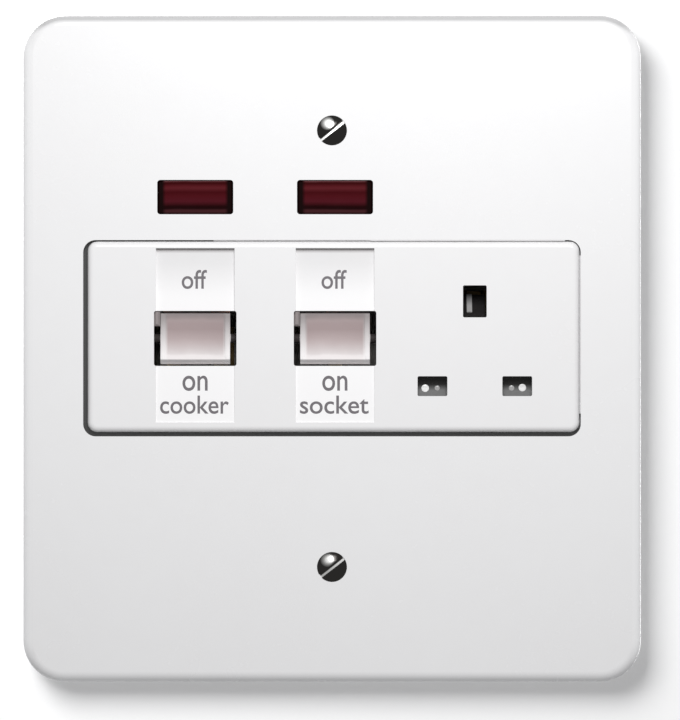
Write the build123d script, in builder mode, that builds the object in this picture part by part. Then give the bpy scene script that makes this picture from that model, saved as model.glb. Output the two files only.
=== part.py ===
from build123d import *
import os
from math import cos, radians, sin

# Driving sizes, in millimetres and degrees. X runs to the right and Z up. The wall is the
# plane y = 0: what stands in the room has a negative y, and what sits in the wall box a
# positive one. The origin is midway between the two fixing screws.

# Front plate
PLATE_WIDTH = 161.9
PLATE_HEIGHT = 174.6
PLATE_DEPTH = 9.5
PLATE_CORNER = 10.8
PLATE_EDGE = 2.6
PLATE_WALL = 3.0
SKIRT_WALL = 3.2
RIB_WALL = 1.8
RIB_DEPTH = 5.0
RIB_PITCH = 27.0
RIBS = 5
SIDE_RIB_PITCH = 24.0
SIDE_RIBS = 3
RIB_STANDOFF = 1.0

# Fixing screws and their captive washers
FIXING_PITCH = 114.3
FIXING_RADIUS = 1.75
SHANK_RADIUS = 1.4
FIXING_REACH = 20.0
FIXING_HEAD_RADIUS = 3.9
FIXING_HEAD_RISE = 1.1
FIXING_BOSS_RADIUS = 5.2
FIXING_SLOT_WIDTH = 1.1
FIXING_SLOT_DEPTH = 1.3
FIXING_SLOT_ANGLE = 38.0
COUNTERSINK_ANGLE = 90.0
HOLE_CLEARANCE = 0.25
WASHER_RADIUS = 4.4
WASHER_THICKNESS = 0.8
WASHER_RECESS = 1.5
THREAD_CLEARANCE = 0.05

# Insert panel
INSERT_WIDTH = 128.8
INSERT_HEIGHT = 49.9
INSERT_X = 0.4
INSERT_Z = 3.15
INSERT_CORNER = 2.5
INSERT_GAP = 0.75
APERTURE_SHIFT = 0.4
INSERT_PROUD = 0.4
INSERT_EDGE = 1.5
INSERT_WALL = 3.6
INSERT_RIM = 2.5
FLANGE_LIP = 1.8
FLANGE_THICKNESS = 2.0

# Switches and their label strips
COLUMN_PITCH = 36.6
SWITCH_X = 0.8
STRIP_WIDTH = 20.6
STRIP_TOP = 26.3
STRIP_BOTTOM = -19.3
STRIP_DEPTH_TOP = 1.0
STRIP_DEPTH_BOTTOM = 0.3
OPENING_WIDTH = 21.6
OPENING_HEIGHT = 14.4
OPENING_Z = 2.7
OPENING_CORNER = 0.6
ROCKER_WIDTH = 18.2
ROCKER_SWING = 9.0
ROCKER_END_GAP = 0.35
ROCKER_FACE = 3.2
ROCKER_BELLY = 1.6
ROCKER_BODY_HEIGHT = 10.0
RIM_WIDTH = 1.3
DISH_DEPTH = 1.2
DISH_END = 0.5
PIVOT_SETBACK = 3.5
TRUNNION_RADIUS = 1.2
TRUNNION_REACH = 3.8
TRUNNION_END_GAP = 0.2
RUNNING_CLEARANCE = 0.05
KEEPER_GAP = 0.1
KEEPER_WIDTH = 2.2
KEEPER_SIDE_GAP = 0.3
BEARING_WIDTH = 2.9
BEARING_HEIGHT = 6.0

# Plungers and contact arms
POLE_OFFSET = 6.3
BARREL_RADIUS = 2.7
BARREL_LENGTH = 10.0
BARREL_FLOOR = 1.0
PLUNGER_RADIUS = 1.75
PLUNGER_LENGTH = 9.0
PLUNGER_REACH = 14.5
PLUNGER_GAP = 0.25
SPRING_WIRE = 0.45
SPRING_TURNS = 4
WIRE_SIDES = 8
ARM_SWING = 6.0
ARM_WIDTH = 5.0
ARM_THICKNESS = 2.0
ARM_UP = 15.8
ARM_DOWN = 6.0
TIP_HEIGHT = 13.5
TIP_RADIUS = 2.0
TIP_THICKNESS = 0.8
FIXED_TIP_THICKNESS = 0.85
KNIFE_RADIUS = 0.8
KNIFE_NECK = 1.0
KNIFE_FOOT = 3.4
KNIFE_WIDTH = 4.0
KNIFE_STAND = 3.4

# Strips, links and rivets
STRIP_THICKNESS = 1.5
STRIP_BAR = 6.8
STRIP_HEEL = 3.0
BUSBAR_Z = 22.6
BUSBAR_BAR = 4.0
LINK_THICKNESS = 1.25
LINK_BAR = 3.0
LINK_RISE = 3.25
LINK_FOOT = 4.6
LINK_SLOPE = 2.6
LINK_BEND = 0.9
NEUTRAL_LINK_Z = 26.6
LIVE_LINK_Z = -17.9
RIVET_RADIUS = 1.0
RIVET_HEAD = 1.9
RIVET_HEAD_HEIGHT = 0.6
RIVET_DEPTH = 2.0

# Outlet
SOCKET_Z = 1.3
PIN_SPACING = 22.2
PIN_DROP = 22.2
SLOT_WIDTH = 7.8
SLOT_HEIGHT = 5.2
EARTH_WIDTH = 6.2
EARTH_HEIGHT = 8.4
SLOT_CORNER = 0.4
CONTACT_THICKNESS = 0.9
CONTACT_WIDTH = 6.0
CONTACT_GRIP = 2.2
CONTACT_FLARE = 3.1
CONTACT_HEEL = 2.9
CONTACT_LEAD = 2.2
CONTACT_BEND = 0.65
EARTH_CONTACT_FRONT = 0.4

# Shutter, its spring and its cover
SHUTTER_THICKNESS = 1.8
SHUTTER_GAP = 0.2
SHUTTER_TRAVEL = 5.8
WING_SPAN = 32.0
WING_HEIGHT = 6.0
ARM_BAR = 8.6
WINDOW_WIDTH = 4.6
WINDOW_TOP = 6.4
WEDGE_WIDTH = 5.6
WEDGE_DEPTH = 5.6
WEDGE_RISE = 6.0
WEDGE_SECTION = 2.8
RAIL_WALL = 1.6
RAIL_GAP = 0.3
PEG_HEIGHT = 1.4
COVER_WIDTH = 38.0
COVER_TOP = 20.5
COVER_BOTTOM = -18.8
COVER_THICKNESS = 1.5
COVER_SCREW_SPAN = 31.0
COVER_SCREW_Z = 15.0
COVER_SCREW_RADIUS = 1.1
COVER_SCREW_HEAD = 2.2
COVER_BOSS_RADIUS = 2.8
SHUTTER_SPRING_RADIUS = 1.7
SHUTTER_SPRING_WIRE = 0.4
SHUTTER_SPRING_TURNS = 6

# Terminals
TERMINAL_WIDTH = 9.6
TERMINAL_HEIGHT = 14.0
TERMINAL_DEPTH = 12.0
EARTH_TERMINAL_WIDTH = 20.0
EARTH_BORE_PITCH = 10.0
CABLE_RADIUS = 3.4
CABLE_WALL = 1.6
CABLE_ENTRY_RADIUS = 4.4
CLAMP_RADIUS = 2.0
CLAMP_HEAD_RADIUS = 3.3
CLAMP_HEAD_HEIGHT = 1.9
CLAMP_PITCH = 7.2
CLAMP_BACKOFF = 0.1
CLAMP_SLOT = 1.0
POCKET_CLEARANCE = 0.2
SUPPLY_LIFT = 0.5
LOAD_DROP = 4.5

# Base housing
HOUSING_WIDTH = 134.0
HOUSING_TOP = 49.5
HOUSING_BOTTOM = -46.0
HOUSING_CORNER = 3.0
HOUSING_WALL = 2.5
PARTITION = 2.0
FLOOR_THICKNESS = 3.0
BACK_WALL = 2.25
TERMINAL_BARRIER = 6.0
CORE_COLUMNS = 7
CORE_ROWS = 3
HOUSING_SCREW_X = 58.5
HOUSING_SCREW_UP = 41.0
HOUSING_SCREW_DOWN = -37.0
HOUSING_SCREW_RADIUS = 1.45
HOUSING_SCREW_HEAD = 3.0
HOUSING_SCREW_HEAD_HEIGHT = 2.0
HOUSING_SCREW_SEAT = 5.0
HOUSING_SCREW_BITE = 3.4
COLUMN_RADIUS = 5.0

# Neon indicators
NEON_Z = 39.7
NEON_WIDTH = 19.9
NEON_HEIGHT = 9.0
NEON_CORNER = 0.8
LENS_GAP = 0.15
LENS_SETBACK = 0.3
LENS_FLANGE = 1.3
LENS_FLANGE_THICKNESS = 1.0
LENS_WALL = 1.6
HOLDER_WIDTH = 32.0
HOLDER_HEIGHT = 12.4
HOLDER_THICKNESS = 1.5
HOLDER_BOX_WIDTH = 22.0
HOLDER_BOX_HEIGHT = 11.0
HOLDER_BOX_DEPTH = 8.5
HOLDER_WALL = 1.2
POST_SPAN = 27.5
POST_RADIUS = 1.1
POST_BASE_RADIUS = 1.9
LAMP_RADIUS = 2.6
LAMP_LENGTH = 13.0
RESISTOR_RADIUS = 1.1
RESISTOR_LENGTH = 6.5
LAMP_RAISE = 1.3

# Planes worked out from the sizes above
PLATE_FRONT_Y = -PLATE_DEPTH
PLATE_BACK_Y = PLATE_FRONT_Y + PLATE_WALL
FLANGE_BACK_Y = PLATE_BACK_Y + FLANGE_THICKNESS
INSERT_FRONT_Y = PLATE_FRONT_Y - INSERT_PROUD
PANEL_BACK_Y = INSERT_FRONT_Y + INSERT_WALL
PIVOT_Y = INSERT_FRONT_Y + STRIP_DEPTH_BOTTOM + PIVOT_SETBACK
ROCKER_END_RADIUS = OPENING_HEIGHT / 2 - ROCKER_END_GAP
TRUNNION_TIP = ROCKER_WIDTH / 2 + TRUNNION_REACH
ARM_FRONT_Y = PIVOT_Y + PLUNGER_REACH + PLUNGER_GAP
ARM_AXIS_Y = ARM_FRONT_Y + ARM_THICKNESS
STRIP_FRONT_Y = ARM_AXIS_Y + KNIFE_STAND
FLOOR_Y = STRIP_FRONT_Y + STRIP_THICKNESS
FLOOR_BACK_Y = FLOOR_Y + FLOOR_THICKNESS
TERMINAL_BACK_Y = FLOOR_Y + TERMINAL_DEPTH
HOUSING_BACK_Y = TERMINAL_BACK_Y + BACK_WALL
CABLE_Y = FLOOR_Y + CABLE_WALL + CABLE_RADIUS
WASHER_SEAT_Y = -WASHER_RECESS
WASHER_BACK_Y = WASHER_SEAT_Y + WASHER_THICKNESS
SHUTTER_FRONT_Y = PANEL_BACK_Y + SHUTTER_GAP
SHUTTER_BACK_Y = SHUTTER_FRONT_Y + SHUTTER_THICKNESS
COVER_FRONT_Y = SHUTTER_BACK_Y + SHUTTER_GAP
COVER_BACK_Y = COVER_FRONT_Y + COVER_THICKNESS
HOLDER_FRONT_Y = PLATE_BACK_Y + LENS_FLANGE_THICKNESS
HOLDER_BOX_Y = HOLDER_FRONT_Y + HOLDER_THICKNESS
HOLDER_BACK_Y = HOLDER_BOX_Y + HOLDER_BOX_DEPTH

# Places worked out from the sizes above
COOKER_X = SWITCH_X - COLUMN_PITCH
SOCKET_X = SWITCH_X + COLUMN_PITCH
LIVE_POLE_X = COOKER_X + POLE_OFFSET
NEUTRAL_POLE_X = COOKER_X - POLE_OFFSET
NEUTRAL_PIN_X = SOCKET_X - PIN_SPACING / 2
LIVE_PIN_X = SOCKET_X + PIN_SPACING / 2
PIN_Z = SOCKET_Z - PIN_DROP / 2
EARTH_Z = SOCKET_Z + PIN_DROP / 2
FIXING_POINTS = [(0, FIXING_PITCH / 2), (0, -FIXING_PITCH / 2)]
APERTURE_WIDTH = INSERT_WIDTH + 2 * INSERT_GAP
APERTURE_HEIGHT = INSERT_HEIGHT + 2 * INSERT_GAP
FLANGE_WIDTH = APERTURE_WIDTH + 2 * FLANGE_LIP
FLANGE_HEIGHT = APERTURE_HEIGHT + 2 * FLANGE_LIP
FLANGE_TOP = INSERT_Z + FLANGE_HEIGHT / 2
FLANGE_FOOT = INSERT_Z - FLANGE_HEIGHT / 2
UPPER_WALL_Z = FLANGE_TOP - PARTITION / 2
LOWER_WALL_Z = FLANGE_FOOT + PARTITION / 2
HOUSING_Z = (HOUSING_TOP + HOUSING_BOTTOM) / 2
HOUSING_HEIGHT = HOUSING_TOP - HOUSING_BOTTOM
SUPPLY_Z = FLANGE_TOP + TERMINAL_HEIGHT / 2 + POCKET_CLEARANCE + SUPPLY_LIFT
LOAD_Z = FLANGE_FOOT - TERMINAL_HEIGHT / 2 - POCKET_CLEARANCE - LOAD_DROP
KEEPER_X = OPENING_WIDTH / 2 + PARTITION / 2 + KEEPER_SIDE_GAP
BEARING_X = (OPENING_WIDTH + BEARING_WIDTH + KEEPER_SIDE_GAP) / 2
FIXED_TIP_Z = OPENING_Z + TIP_HEIGHT
PEG_Z = PIN_Z + WING_HEIGHT / 2 + PEG_HEIGHT
HOUSING_SCREW_POINTS = [
    (x, z) for x in (-HOUSING_SCREW_X, HOUSING_SCREW_X) for z in (HOUSING_SCREW_UP, HOUSING_SCREW_DOWN)
]
SWITCH_CENTRES = [COOKER_X, SWITCH_X]
POLES = [LIVE_POLE_X, NEUTRAL_POLE_X, SWITCH_X]
STRIP_RIVETS = [(x, z) for x in POLES for z in (OPENING_Z - 2 * KNIFE_FOOT, BUSBAR_Z)]
CONTACT_RIVETS = [(SOCKET_X, EARTH_Z), (NEUTRAL_PIN_X, PIN_Z), (LIVE_PIN_X, PIN_Z)]

os.makedirs("parts", exist_ok=True)


def facing(depth):
    """A plane that faces the room, at a depth behind the wall plane."""
    return Plane.XZ.offset(-depth)


def tilted(x, y, z, angle):
    """A side plane square to X, turned about X: its own x runs back and its own y up."""
    return Plane(
        origin=(x, y, z),
        x_dir=(0, cos(radians(angle)), sin(radians(angle))),
        z_dir=(1, 0, 0),
    )


def write(piece, name):
    """Label a finished piece and write its file."""
    piece.part.label = name
    export_step(piece.part, f"parts/{name}.step")


def front_plate():
    """The moulded face plate with its skirt, ribs, bosses, window openings and aperture."""
    inner_width = PLATE_WIDTH - 2 * SKIRT_WALL
    inner_height = PLATE_HEIGHT - 2 * SKIRT_WALL
    with BuildPart() as plate:
        with BuildSketch(facing(0)):
            RectangleRounded(PLATE_WIDTH, PLATE_HEIGHT, PLATE_CORNER)
        extrude(amount=PLATE_DEPTH)
        fillet(plate.faces().sort_by(Axis.Y)[0].edges(), PLATE_EDGE)
        with BuildSketch(facing(0)):
            RectangleRounded(inner_width, inner_height, PLATE_CORNER - SKIRT_WALL)
        extrude(amount=-PLATE_BACK_Y, mode=Mode.SUBTRACT)
        # Stiffening ribs above and below the housing, and beside it
        with BuildSketch(facing(PLATE_BACK_Y)):
            with GridLocations(RIB_PITCH, 0, RIBS, 1):
                Rectangle(RIB_WALL, inner_height + SKIRT_WALL)
            with Locations((0, HOUSING_Z)):
                with GridLocations(0, SIDE_RIB_PITCH, 1, SIDE_RIBS):
                    Rectangle(inner_width + SKIRT_WALL, RIB_WALL)
                Rectangle(HOUSING_WIDTH + 2 * RIB_STANDOFF, HOUSING_HEIGHT + 2 * RIB_STANDOFF,
                          mode=Mode.SUBTRACT)
        extrude(amount=-RIB_DEPTH)
        # Seat for the housing's rim, beyond the insert's flange
        with BuildSketch(facing(PLATE_BACK_Y)):
            with Locations((0, HOUSING_Z)):
                Rectangle(HOUSING_WIDTH, HOUSING_HEIGHT)
                Rectangle(HOUSING_WIDTH - 2 * HOUSING_WALL, HOUSING_HEIGHT - 2 * HOUSING_WALL,
                          mode=Mode.SUBTRACT)
            with Locations(*HOUSING_SCREW_POINTS):
                Circle(COLUMN_RADIUS)
            with Locations((INSERT_X, INSERT_Z)):
                Rectangle(FLANGE_WIDTH + 2 * RIB_STANDOFF, FLANGE_HEIGHT + 2 * RIB_STANDOFF,
                          mode=Mode.SUBTRACT)
        extrude(amount=-FLANGE_THICKNESS)
        with BuildSketch(facing(PLATE_BACK_Y)):
            with Locations(*FIXING_POINTS):
                Circle(FIXING_BOSS_RADIUS)
        extrude(amount=PLATE_BACK_Y - WASHER_SEAT_Y)
        # Posts that carry the lamp holders
        with BuildSketch(facing(PLATE_BACK_Y)):
            for x in SWITCH_CENTRES:
                with Locations((x, NEON_Z)):
                    with GridLocations(POST_SPAN, 0, 2, 1):
                        Circle(POST_BASE_RADIUS)
        extrude(amount=-LENS_FLANGE_THICKNESS)
        with BuildSketch(facing(HOLDER_FRONT_Y)):
            for x in SWITCH_CENTRES:
                with Locations((x, NEON_Z)):
                    with GridLocations(POST_SPAN, 0, 2, 1):
                        Circle(POST_RADIUS)
        extrude(amount=-HOLDER_THICKNESS - POST_RADIUS)
        # Aperture, windows and screw holes
        with BuildSketch(facing(FLANGE_BACK_Y)):
            with Locations((INSERT_X - APERTURE_SHIFT, INSERT_Z - APERTURE_SHIFT)):
                RectangleRounded(APERTURE_WIDTH, APERTURE_HEIGHT, INSERT_CORNER + INSERT_GAP)
            for x in SWITCH_CENTRES:
                with Locations((x, NEON_Z)):
                    RectangleRounded(NEON_WIDTH, NEON_HEIGHT, NEON_CORNER)
        extrude(amount=PLATE_DEPTH, mode=Mode.SUBTRACT)
        with Locations(facing(PLATE_FRONT_Y)):
            with Locations(*FIXING_POINTS):
                CounterSinkHole(FIXING_RADIUS + HOLE_CLEARANCE, FIXING_HEAD_RADIUS + THREAD_CLEARANCE,
                                counter_sink_angle=COUNTERSINK_ANGLE)
        with BuildSketch(facing(FLANGE_BACK_Y)):
            with Locations(*HOUSING_SCREW_POINTS):
                Circle(HOUSING_SCREW_RADIUS + THREAD_CLEARANCE)
        extrude(amount=HOUSING_SCREW_BITE + 2 * THREAD_CLEARANCE, mode=Mode.SUBTRACT)
    write(plate, "front_plate")


def fixing_screws():
    """Two raised countersunk screws with a slot, their shanks thinner than their threads."""
    crown_y = PLATE_FRONT_Y - FIXING_HEAD_RISE
    cone_y = PLATE_FRONT_Y + FIXING_HEAD_RADIUS - SHANK_RADIUS
    tip_y = FIXING_REACH - FIXING_RADIUS / 2
    crown_radius = (FIXING_HEAD_RADIUS**2 + FIXING_HEAD_RISE**2) / (2 * FIXING_HEAD_RISE)
    with BuildPart() as screws:
        for _, z in FIXING_POINTS:
            with BuildSketch(Plane.XY.offset(z)):
                with BuildLine():
                    Polyline(
                        (0, crown_y),
                        (0, FIXING_REACH),
                        (FIXING_RADIUS / 2, FIXING_REACH),
                        (FIXING_RADIUS, tip_y),
                        (FIXING_RADIUS, 0),
                        (SHANK_RADIUS, WASHER_BACK_Y),
                        (SHANK_RADIUS, cone_y),
                        (FIXING_HEAD_RADIUS, PLATE_FRONT_Y),
                    )
                    RadiusArc((FIXING_HEAD_RADIUS, PLATE_FRONT_Y), (0, crown_y), -crown_radius)
                make_face()
            revolve(axis=Axis((0, 0, z), (0, 1, 0)))
        with BuildSketch(facing(crown_y)):
            with Locations(*FIXING_POINTS):
                Rectangle(3 * FIXING_HEAD_RADIUS, FIXING_SLOT_WIDTH, rotation=FIXING_SLOT_ANGLE)
        extrude(amount=-FIXING_SLOT_DEPTH, mode=Mode.SUBTRACT)
    write(screws, "fixing_screws")


def captive_washers():
    """The fibre washers that keep the fixing screws in the plate."""
    with BuildPart() as washers:
        with BuildSketch(facing(WASHER_SEAT_Y)):
            with Locations(*FIXING_POINTS):
                Circle(WASHER_RADIUS)
                Circle(SHANK_RADIUS + THREAD_CLEARANCE, mode=Mode.SUBTRACT)
        extrude(amount=-WASHER_THICKNESS)
    write(washers, "captive_washers")


def insert_panel():
    """The fascia that fills the plate's aperture and carries rockers, shutter and pin slots."""
    with BuildPart() as panel:
        with BuildSketch(facing(FLANGE_BACK_Y)):
            with Locations((INSERT_X, INSERT_Z)):
                RectangleRounded(INSERT_WIDTH, INSERT_HEIGHT, INSERT_CORNER)
        extrude(amount=FLANGE_BACK_Y - INSERT_FRONT_Y)
        fillet(panel.faces().sort_by(Axis.Y)[0].edges(), INSERT_EDGE)
        with BuildSketch(facing(FLANGE_BACK_Y)):
            with Locations((INSERT_X, INSERT_Z)):
                RectangleRounded(FLANGE_WIDTH, FLANGE_HEIGHT, INSERT_CORNER + INSERT_GAP)
        extrude(amount=FLANGE_THICKNESS)
        with BuildSketch(facing(FLANGE_BACK_Y)):
            with Locations((INSERT_X, INSERT_Z)):
                Rectangle(INSERT_WIDTH - 2 * INSERT_RIM, INSERT_HEIGHT - 2 * INSERT_RIM)
        extrude(amount=FLANGE_BACK_Y - PANEL_BACK_Y, mode=Mode.SUBTRACT)
        # Label strips, deeper at the top than at the foot
        for x in SWITCH_CENTRES:
            with BuildSketch(Plane.YZ.offset(x)):
                with BuildLine():
                    Polyline(
                        (INSERT_FRONT_Y - INSERT_EDGE, STRIP_TOP),
                        (INSERT_FRONT_Y + STRIP_DEPTH_TOP, STRIP_TOP),
                        (INSERT_FRONT_Y + STRIP_DEPTH_BOTTOM, STRIP_BOTTOM),
                        (INSERT_FRONT_Y - INSERT_EDGE, STRIP_BOTTOM),
                        close=True,
                    )
                make_face()
            extrude(amount=STRIP_WIDTH / 2, both=True, mode=Mode.SUBTRACT)
        with BuildSketch(facing(FLANGE_BACK_Y)):
            with Locations(*[(x, OPENING_Z) for x in SWITCH_CENTRES]):
                RectangleRounded(OPENING_WIDTH, OPENING_HEIGHT, OPENING_CORNER)
            with Locations((NEUTRAL_PIN_X, PIN_Z), (LIVE_PIN_X, PIN_Z)):
                RectangleRounded(SLOT_WIDTH, SLOT_HEIGHT, SLOT_CORNER)
            with Locations((SOCKET_X, EARTH_Z)):
                RectangleRounded(EARTH_WIDTH, EARTH_HEIGHT, SLOT_CORNER)
        extrude(amount=PLATE_DEPTH, mode=Mode.SUBTRACT)
        # Bearing blocks beside the openings, with seats for the rockers' trunnions
        with BuildSketch(facing(FLANGE_BACK_Y)):
            for x in SWITCH_CENTRES:
                with Locations((x - BEARING_X, OPENING_Z), (x + BEARING_X, OPENING_Z)):
                    Rectangle(BEARING_WIDTH, BEARING_HEIGHT)
        extrude(amount=FLANGE_BACK_Y - PANEL_BACK_Y)
        for x in SWITCH_CENTRES:
            with BuildSketch(Plane.YZ.offset(x)):
                with Locations((PIVOT_Y, OPENING_Z)):
                    Circle(TRUNNION_RADIUS + RUNNING_CLEARANCE)
                    Rectangle(
                        FLANGE_BACK_Y - PIVOT_Y,
                        2 * (TRUNNION_RADIUS + RUNNING_CLEARANCE),
                        align=(Align.MIN, Align.CENTER),
                    )
            extrude(amount=TRUNNION_TIP + TRUNNION_END_GAP, both=True, mode=Mode.SUBTRACT)
        # Rails, peg and screw bosses for the shutter and its cover
        rail_x = WING_SPAN / 2 + RAIL_GAP + RAIL_WALL / 2
        rail_foot = PIN_Z - WING_HEIGHT / 2 - SHUTTER_TRAVEL
        rail_top = PIN_Z + WING_HEIGHT / 2
        with BuildSketch(facing(PANEL_BACK_Y)):
            with Locations((SOCKET_X, (rail_foot + rail_top) / 2)):
                with GridLocations(2 * rail_x, 0, 2, 1):
                    Rectangle(RAIL_WALL, rail_top - rail_foot)
            with Locations((SOCKET_X, PEG_Z)):
                Rectangle(WINDOW_WIDTH - 2 * RAIL_GAP, PEG_HEIGHT)
            with Locations((SOCKET_X, COVER_SCREW_Z)):
                with GridLocations(COVER_SCREW_SPAN, 0, 2, 1):
                    Circle(COVER_BOSS_RADIUS)
                    Circle(COVER_SCREW_RADIUS + THREAD_CLEARANCE, mode=Mode.SUBTRACT)
        extrude(amount=PANEL_BACK_Y - COVER_FRONT_Y)
    write(panel, "insert_panel")


def rocker(name, centre_x, barrels):
    """One rocker with its dished face, trunnions and plunger barrels, leaning to off."""
    side = tilted(centre_x, PIVOT_Y, OPENING_Z, -ROCKER_SWING)
    half_face = (ROCKER_END_RADIUS**2 - ROCKER_FACE**2) ** 0.5
    with BuildPart() as body:
        with BuildSketch(side):
            with BuildLine():
                ThreePointArc(
                    (-ROCKER_FACE, half_face),
                    (DISH_END - ROCKER_FACE, 0),
                    (-ROCKER_FACE, -half_face),
                )
                ThreePointArc(
                    (-ROCKER_FACE, -half_face),
                    (-ROCKER_BELLY, -((ROCKER_END_RADIUS**2 - ROCKER_BELLY**2) ** 0.5)),
                    (0, -ROCKER_END_RADIUS),
                )
                Line((0, -ROCKER_END_RADIUS), (ROCKER_FACE, -ROCKER_BODY_HEIGHT / 2))
                Line((ROCKER_FACE, -ROCKER_BODY_HEIGHT / 2), (ROCKER_FACE, ROCKER_BODY_HEIGHT / 2))
                Line((ROCKER_FACE, ROCKER_BODY_HEIGHT / 2), (0, ROCKER_END_RADIUS))
                ThreePointArc(
                    (0, ROCKER_END_RADIUS),
                    (-ROCKER_BELLY, (ROCKER_END_RADIUS**2 - ROCKER_BELLY**2) ** 0.5),
                    (-ROCKER_FACE, half_face),
                )
            make_face()
        extrude(amount=ROCKER_WIDTH / 2, both=True)
        # Finger dish between the two side rims
        with BuildSketch(side):
            with BuildLine():
                Line((-ROCKER_FACE, half_face), (-ROCKER_FACE, -half_face))
                ThreePointArc(
                    (-ROCKER_FACE, -half_face),
                    (DISH_DEPTH - ROCKER_FACE, 0),
                    (-ROCKER_FACE, half_face),
                )
            make_face()
        extrude(amount=ROCKER_WIDTH / 2 - RIM_WIDTH, both=True, mode=Mode.SUBTRACT)
        with BuildSketch(side):
            Circle(TRUNNION_RADIUS)
        extrude(amount=TRUNNION_TIP, both=True)
        back = Plane(origin=side.origin, x_dir=(1, 0, 0), z_dir=side.x_dir)
        with BuildSketch(back):
            with Locations(*barrels):
                Circle(BARREL_RADIUS)
        extrude(amount=BARREL_LENGTH)
        with BuildSketch(back.offset(BARREL_FLOOR)):
            with Locations(*barrels):
                Circle(PLUNGER_RADIUS + RUNNING_CLEARANCE)
        extrude(amount=BARREL_LENGTH, mode=Mode.SUBTRACT)
    write(body, name)


def plunger(name, centre_x):
    """A round-nosed plunger in a rocker's barrel."""
    side = tilted(centre_x, PIVOT_Y, OPENING_Z, -ROCKER_SWING)
    heel = PLUNGER_REACH - PLUNGER_LENGTH
    shoulder = PLUNGER_REACH - PLUNGER_RADIUS
    spigot = PLUNGER_RADIUS - 2 * SPRING_WIRE
    with BuildPart() as body:
        with BuildSketch(side):
            with BuildLine():
                Polyline(
                    (shoulder, PLUNGER_RADIUS),
                    (heel, PLUNGER_RADIUS),
                    (heel, spigot),
                    (heel - PLUNGER_RADIUS, spigot),
                    (heel - PLUNGER_RADIUS, 0),
                    (PLUNGER_REACH, 0),
                )
                RadiusArc((PLUNGER_REACH, 0), (shoulder, PLUNGER_RADIUS), -PLUNGER_RADIUS)
            make_face()
        revolve(axis=Axis(side.origin, side.x_dir))
    write(body, name)


def coil(radius, wire, turns, plane, length):
    """A coil spring along a plane's normal, from the plane, that fits the given length."""
    pitch = (length - 2 * wire) / turns
    helix = Helix(pitch=pitch, height=pitch * turns, radius=radius)
    path = plane.offset(wire) * helix
    with BuildPart() as body:
        with BuildSketch(Plane(origin=path @ 0, z_dir=path % 0)):
            RegularPolygon(wire / 2, WIRE_SIDES)
        sweep(path=path)
    return body


def plunger_spring(name, centre_x):
    """The spring between a barrel's floor and its plunger's shoulder."""
    side = tilted(centre_x, PIVOT_Y, OPENING_Z, -ROCKER_SWING)
    start = Plane(origin=side.origin, x_dir=(1, 0, 0), z_dir=side.x_dir).offset(BARREL_FLOOR)
    length = PLUNGER_REACH - PLUNGER_LENGTH - BARREL_FLOOR
    radius = PLUNGER_RADIUS - 2 * THREAD_CLEARANCE - SPRING_WIRE / 2
    spring = coil(radius, SPRING_WIRE, SPRING_TURNS, start, length)
    write(spring, name)


def contact_arm(name, tip_name, pole_x):
    """A rocking contact arm and the silver tip riveted to its upper end, at off."""
    side = tilted(pole_x, ARM_AXIS_Y, OPENING_Z, ARM_SWING)
    with BuildPart() as arm:
        with BuildSketch(side):
            with Locations((-ARM_THICKNESS / 2, (ARM_UP - ARM_DOWN) / 2)):
                Rectangle(ARM_THICKNESS, ARM_UP + ARM_DOWN)
            Circle(KNIFE_RADIUS + RUNNING_CLEARANCE, mode=Mode.SUBTRACT)
        extrude(amount=ARM_WIDTH / 2, both=True)
        chamfer(arm.edges().filter_by(Axis.X).group_by(Axis.Z)[-1], ARM_THICKNESS / 4)
    write(arm, name)
    rear = Plane(origin=side.origin, x_dir=(1, 0, 0), z_dir=side.x_dir)
    with BuildPart() as tip:
        with BuildSketch(rear):
            with Locations((0, -TIP_HEIGHT)):
                Circle(TIP_RADIUS)
        extrude(amount=TIP_THICKNESS)
    write(tip, tip_name)


def knife_edge(pole_x):
    """The side profile of the standing edge that an arm rocks on."""
    with BuildSketch(Plane.YZ.offset(pole_x)) as edge:
        with BuildLine():
            Polyline(
                (ARM_AXIS_Y, OPENING_Z - KNIFE_NECK / 2),
                (STRIP_FRONT_Y, OPENING_Z - KNIFE_FOOT / 2),
                (STRIP_FRONT_Y, OPENING_Z + KNIFE_FOOT / 2),
                (ARM_AXIS_Y, OPENING_Z + KNIFE_NECK / 2),
                close=True,
            )
        make_face()
        with Locations((ARM_AXIS_Y, OPENING_Z)):
            Circle(KNIFE_RADIUS)
    return edge.sketch


def knife_strip(name, pole_x, foot_z):
    """A strip on the housing's floor with the edge that carries one contact arm."""
    top_z = OPENING_Z + STRIP_HEEL
    with BuildPart() as strip:
        with BuildSketch(facing(FLOOR_Y)):
            with Locations((pole_x, (top_z + foot_z) / 2)):
                Rectangle(STRIP_BAR, top_z - foot_z)
            with Locations((pole_x, OPENING_Z - 2 * KNIFE_FOOT)):
                Circle(RIVET_RADIUS + THREAD_CLEARANCE, mode=Mode.SUBTRACT)
        extrude(amount=STRIP_THICKNESS)
        extrude(knife_edge(pole_x), amount=KNIFE_WIDTH / 2, both=True)
    write(strip, name)


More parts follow.
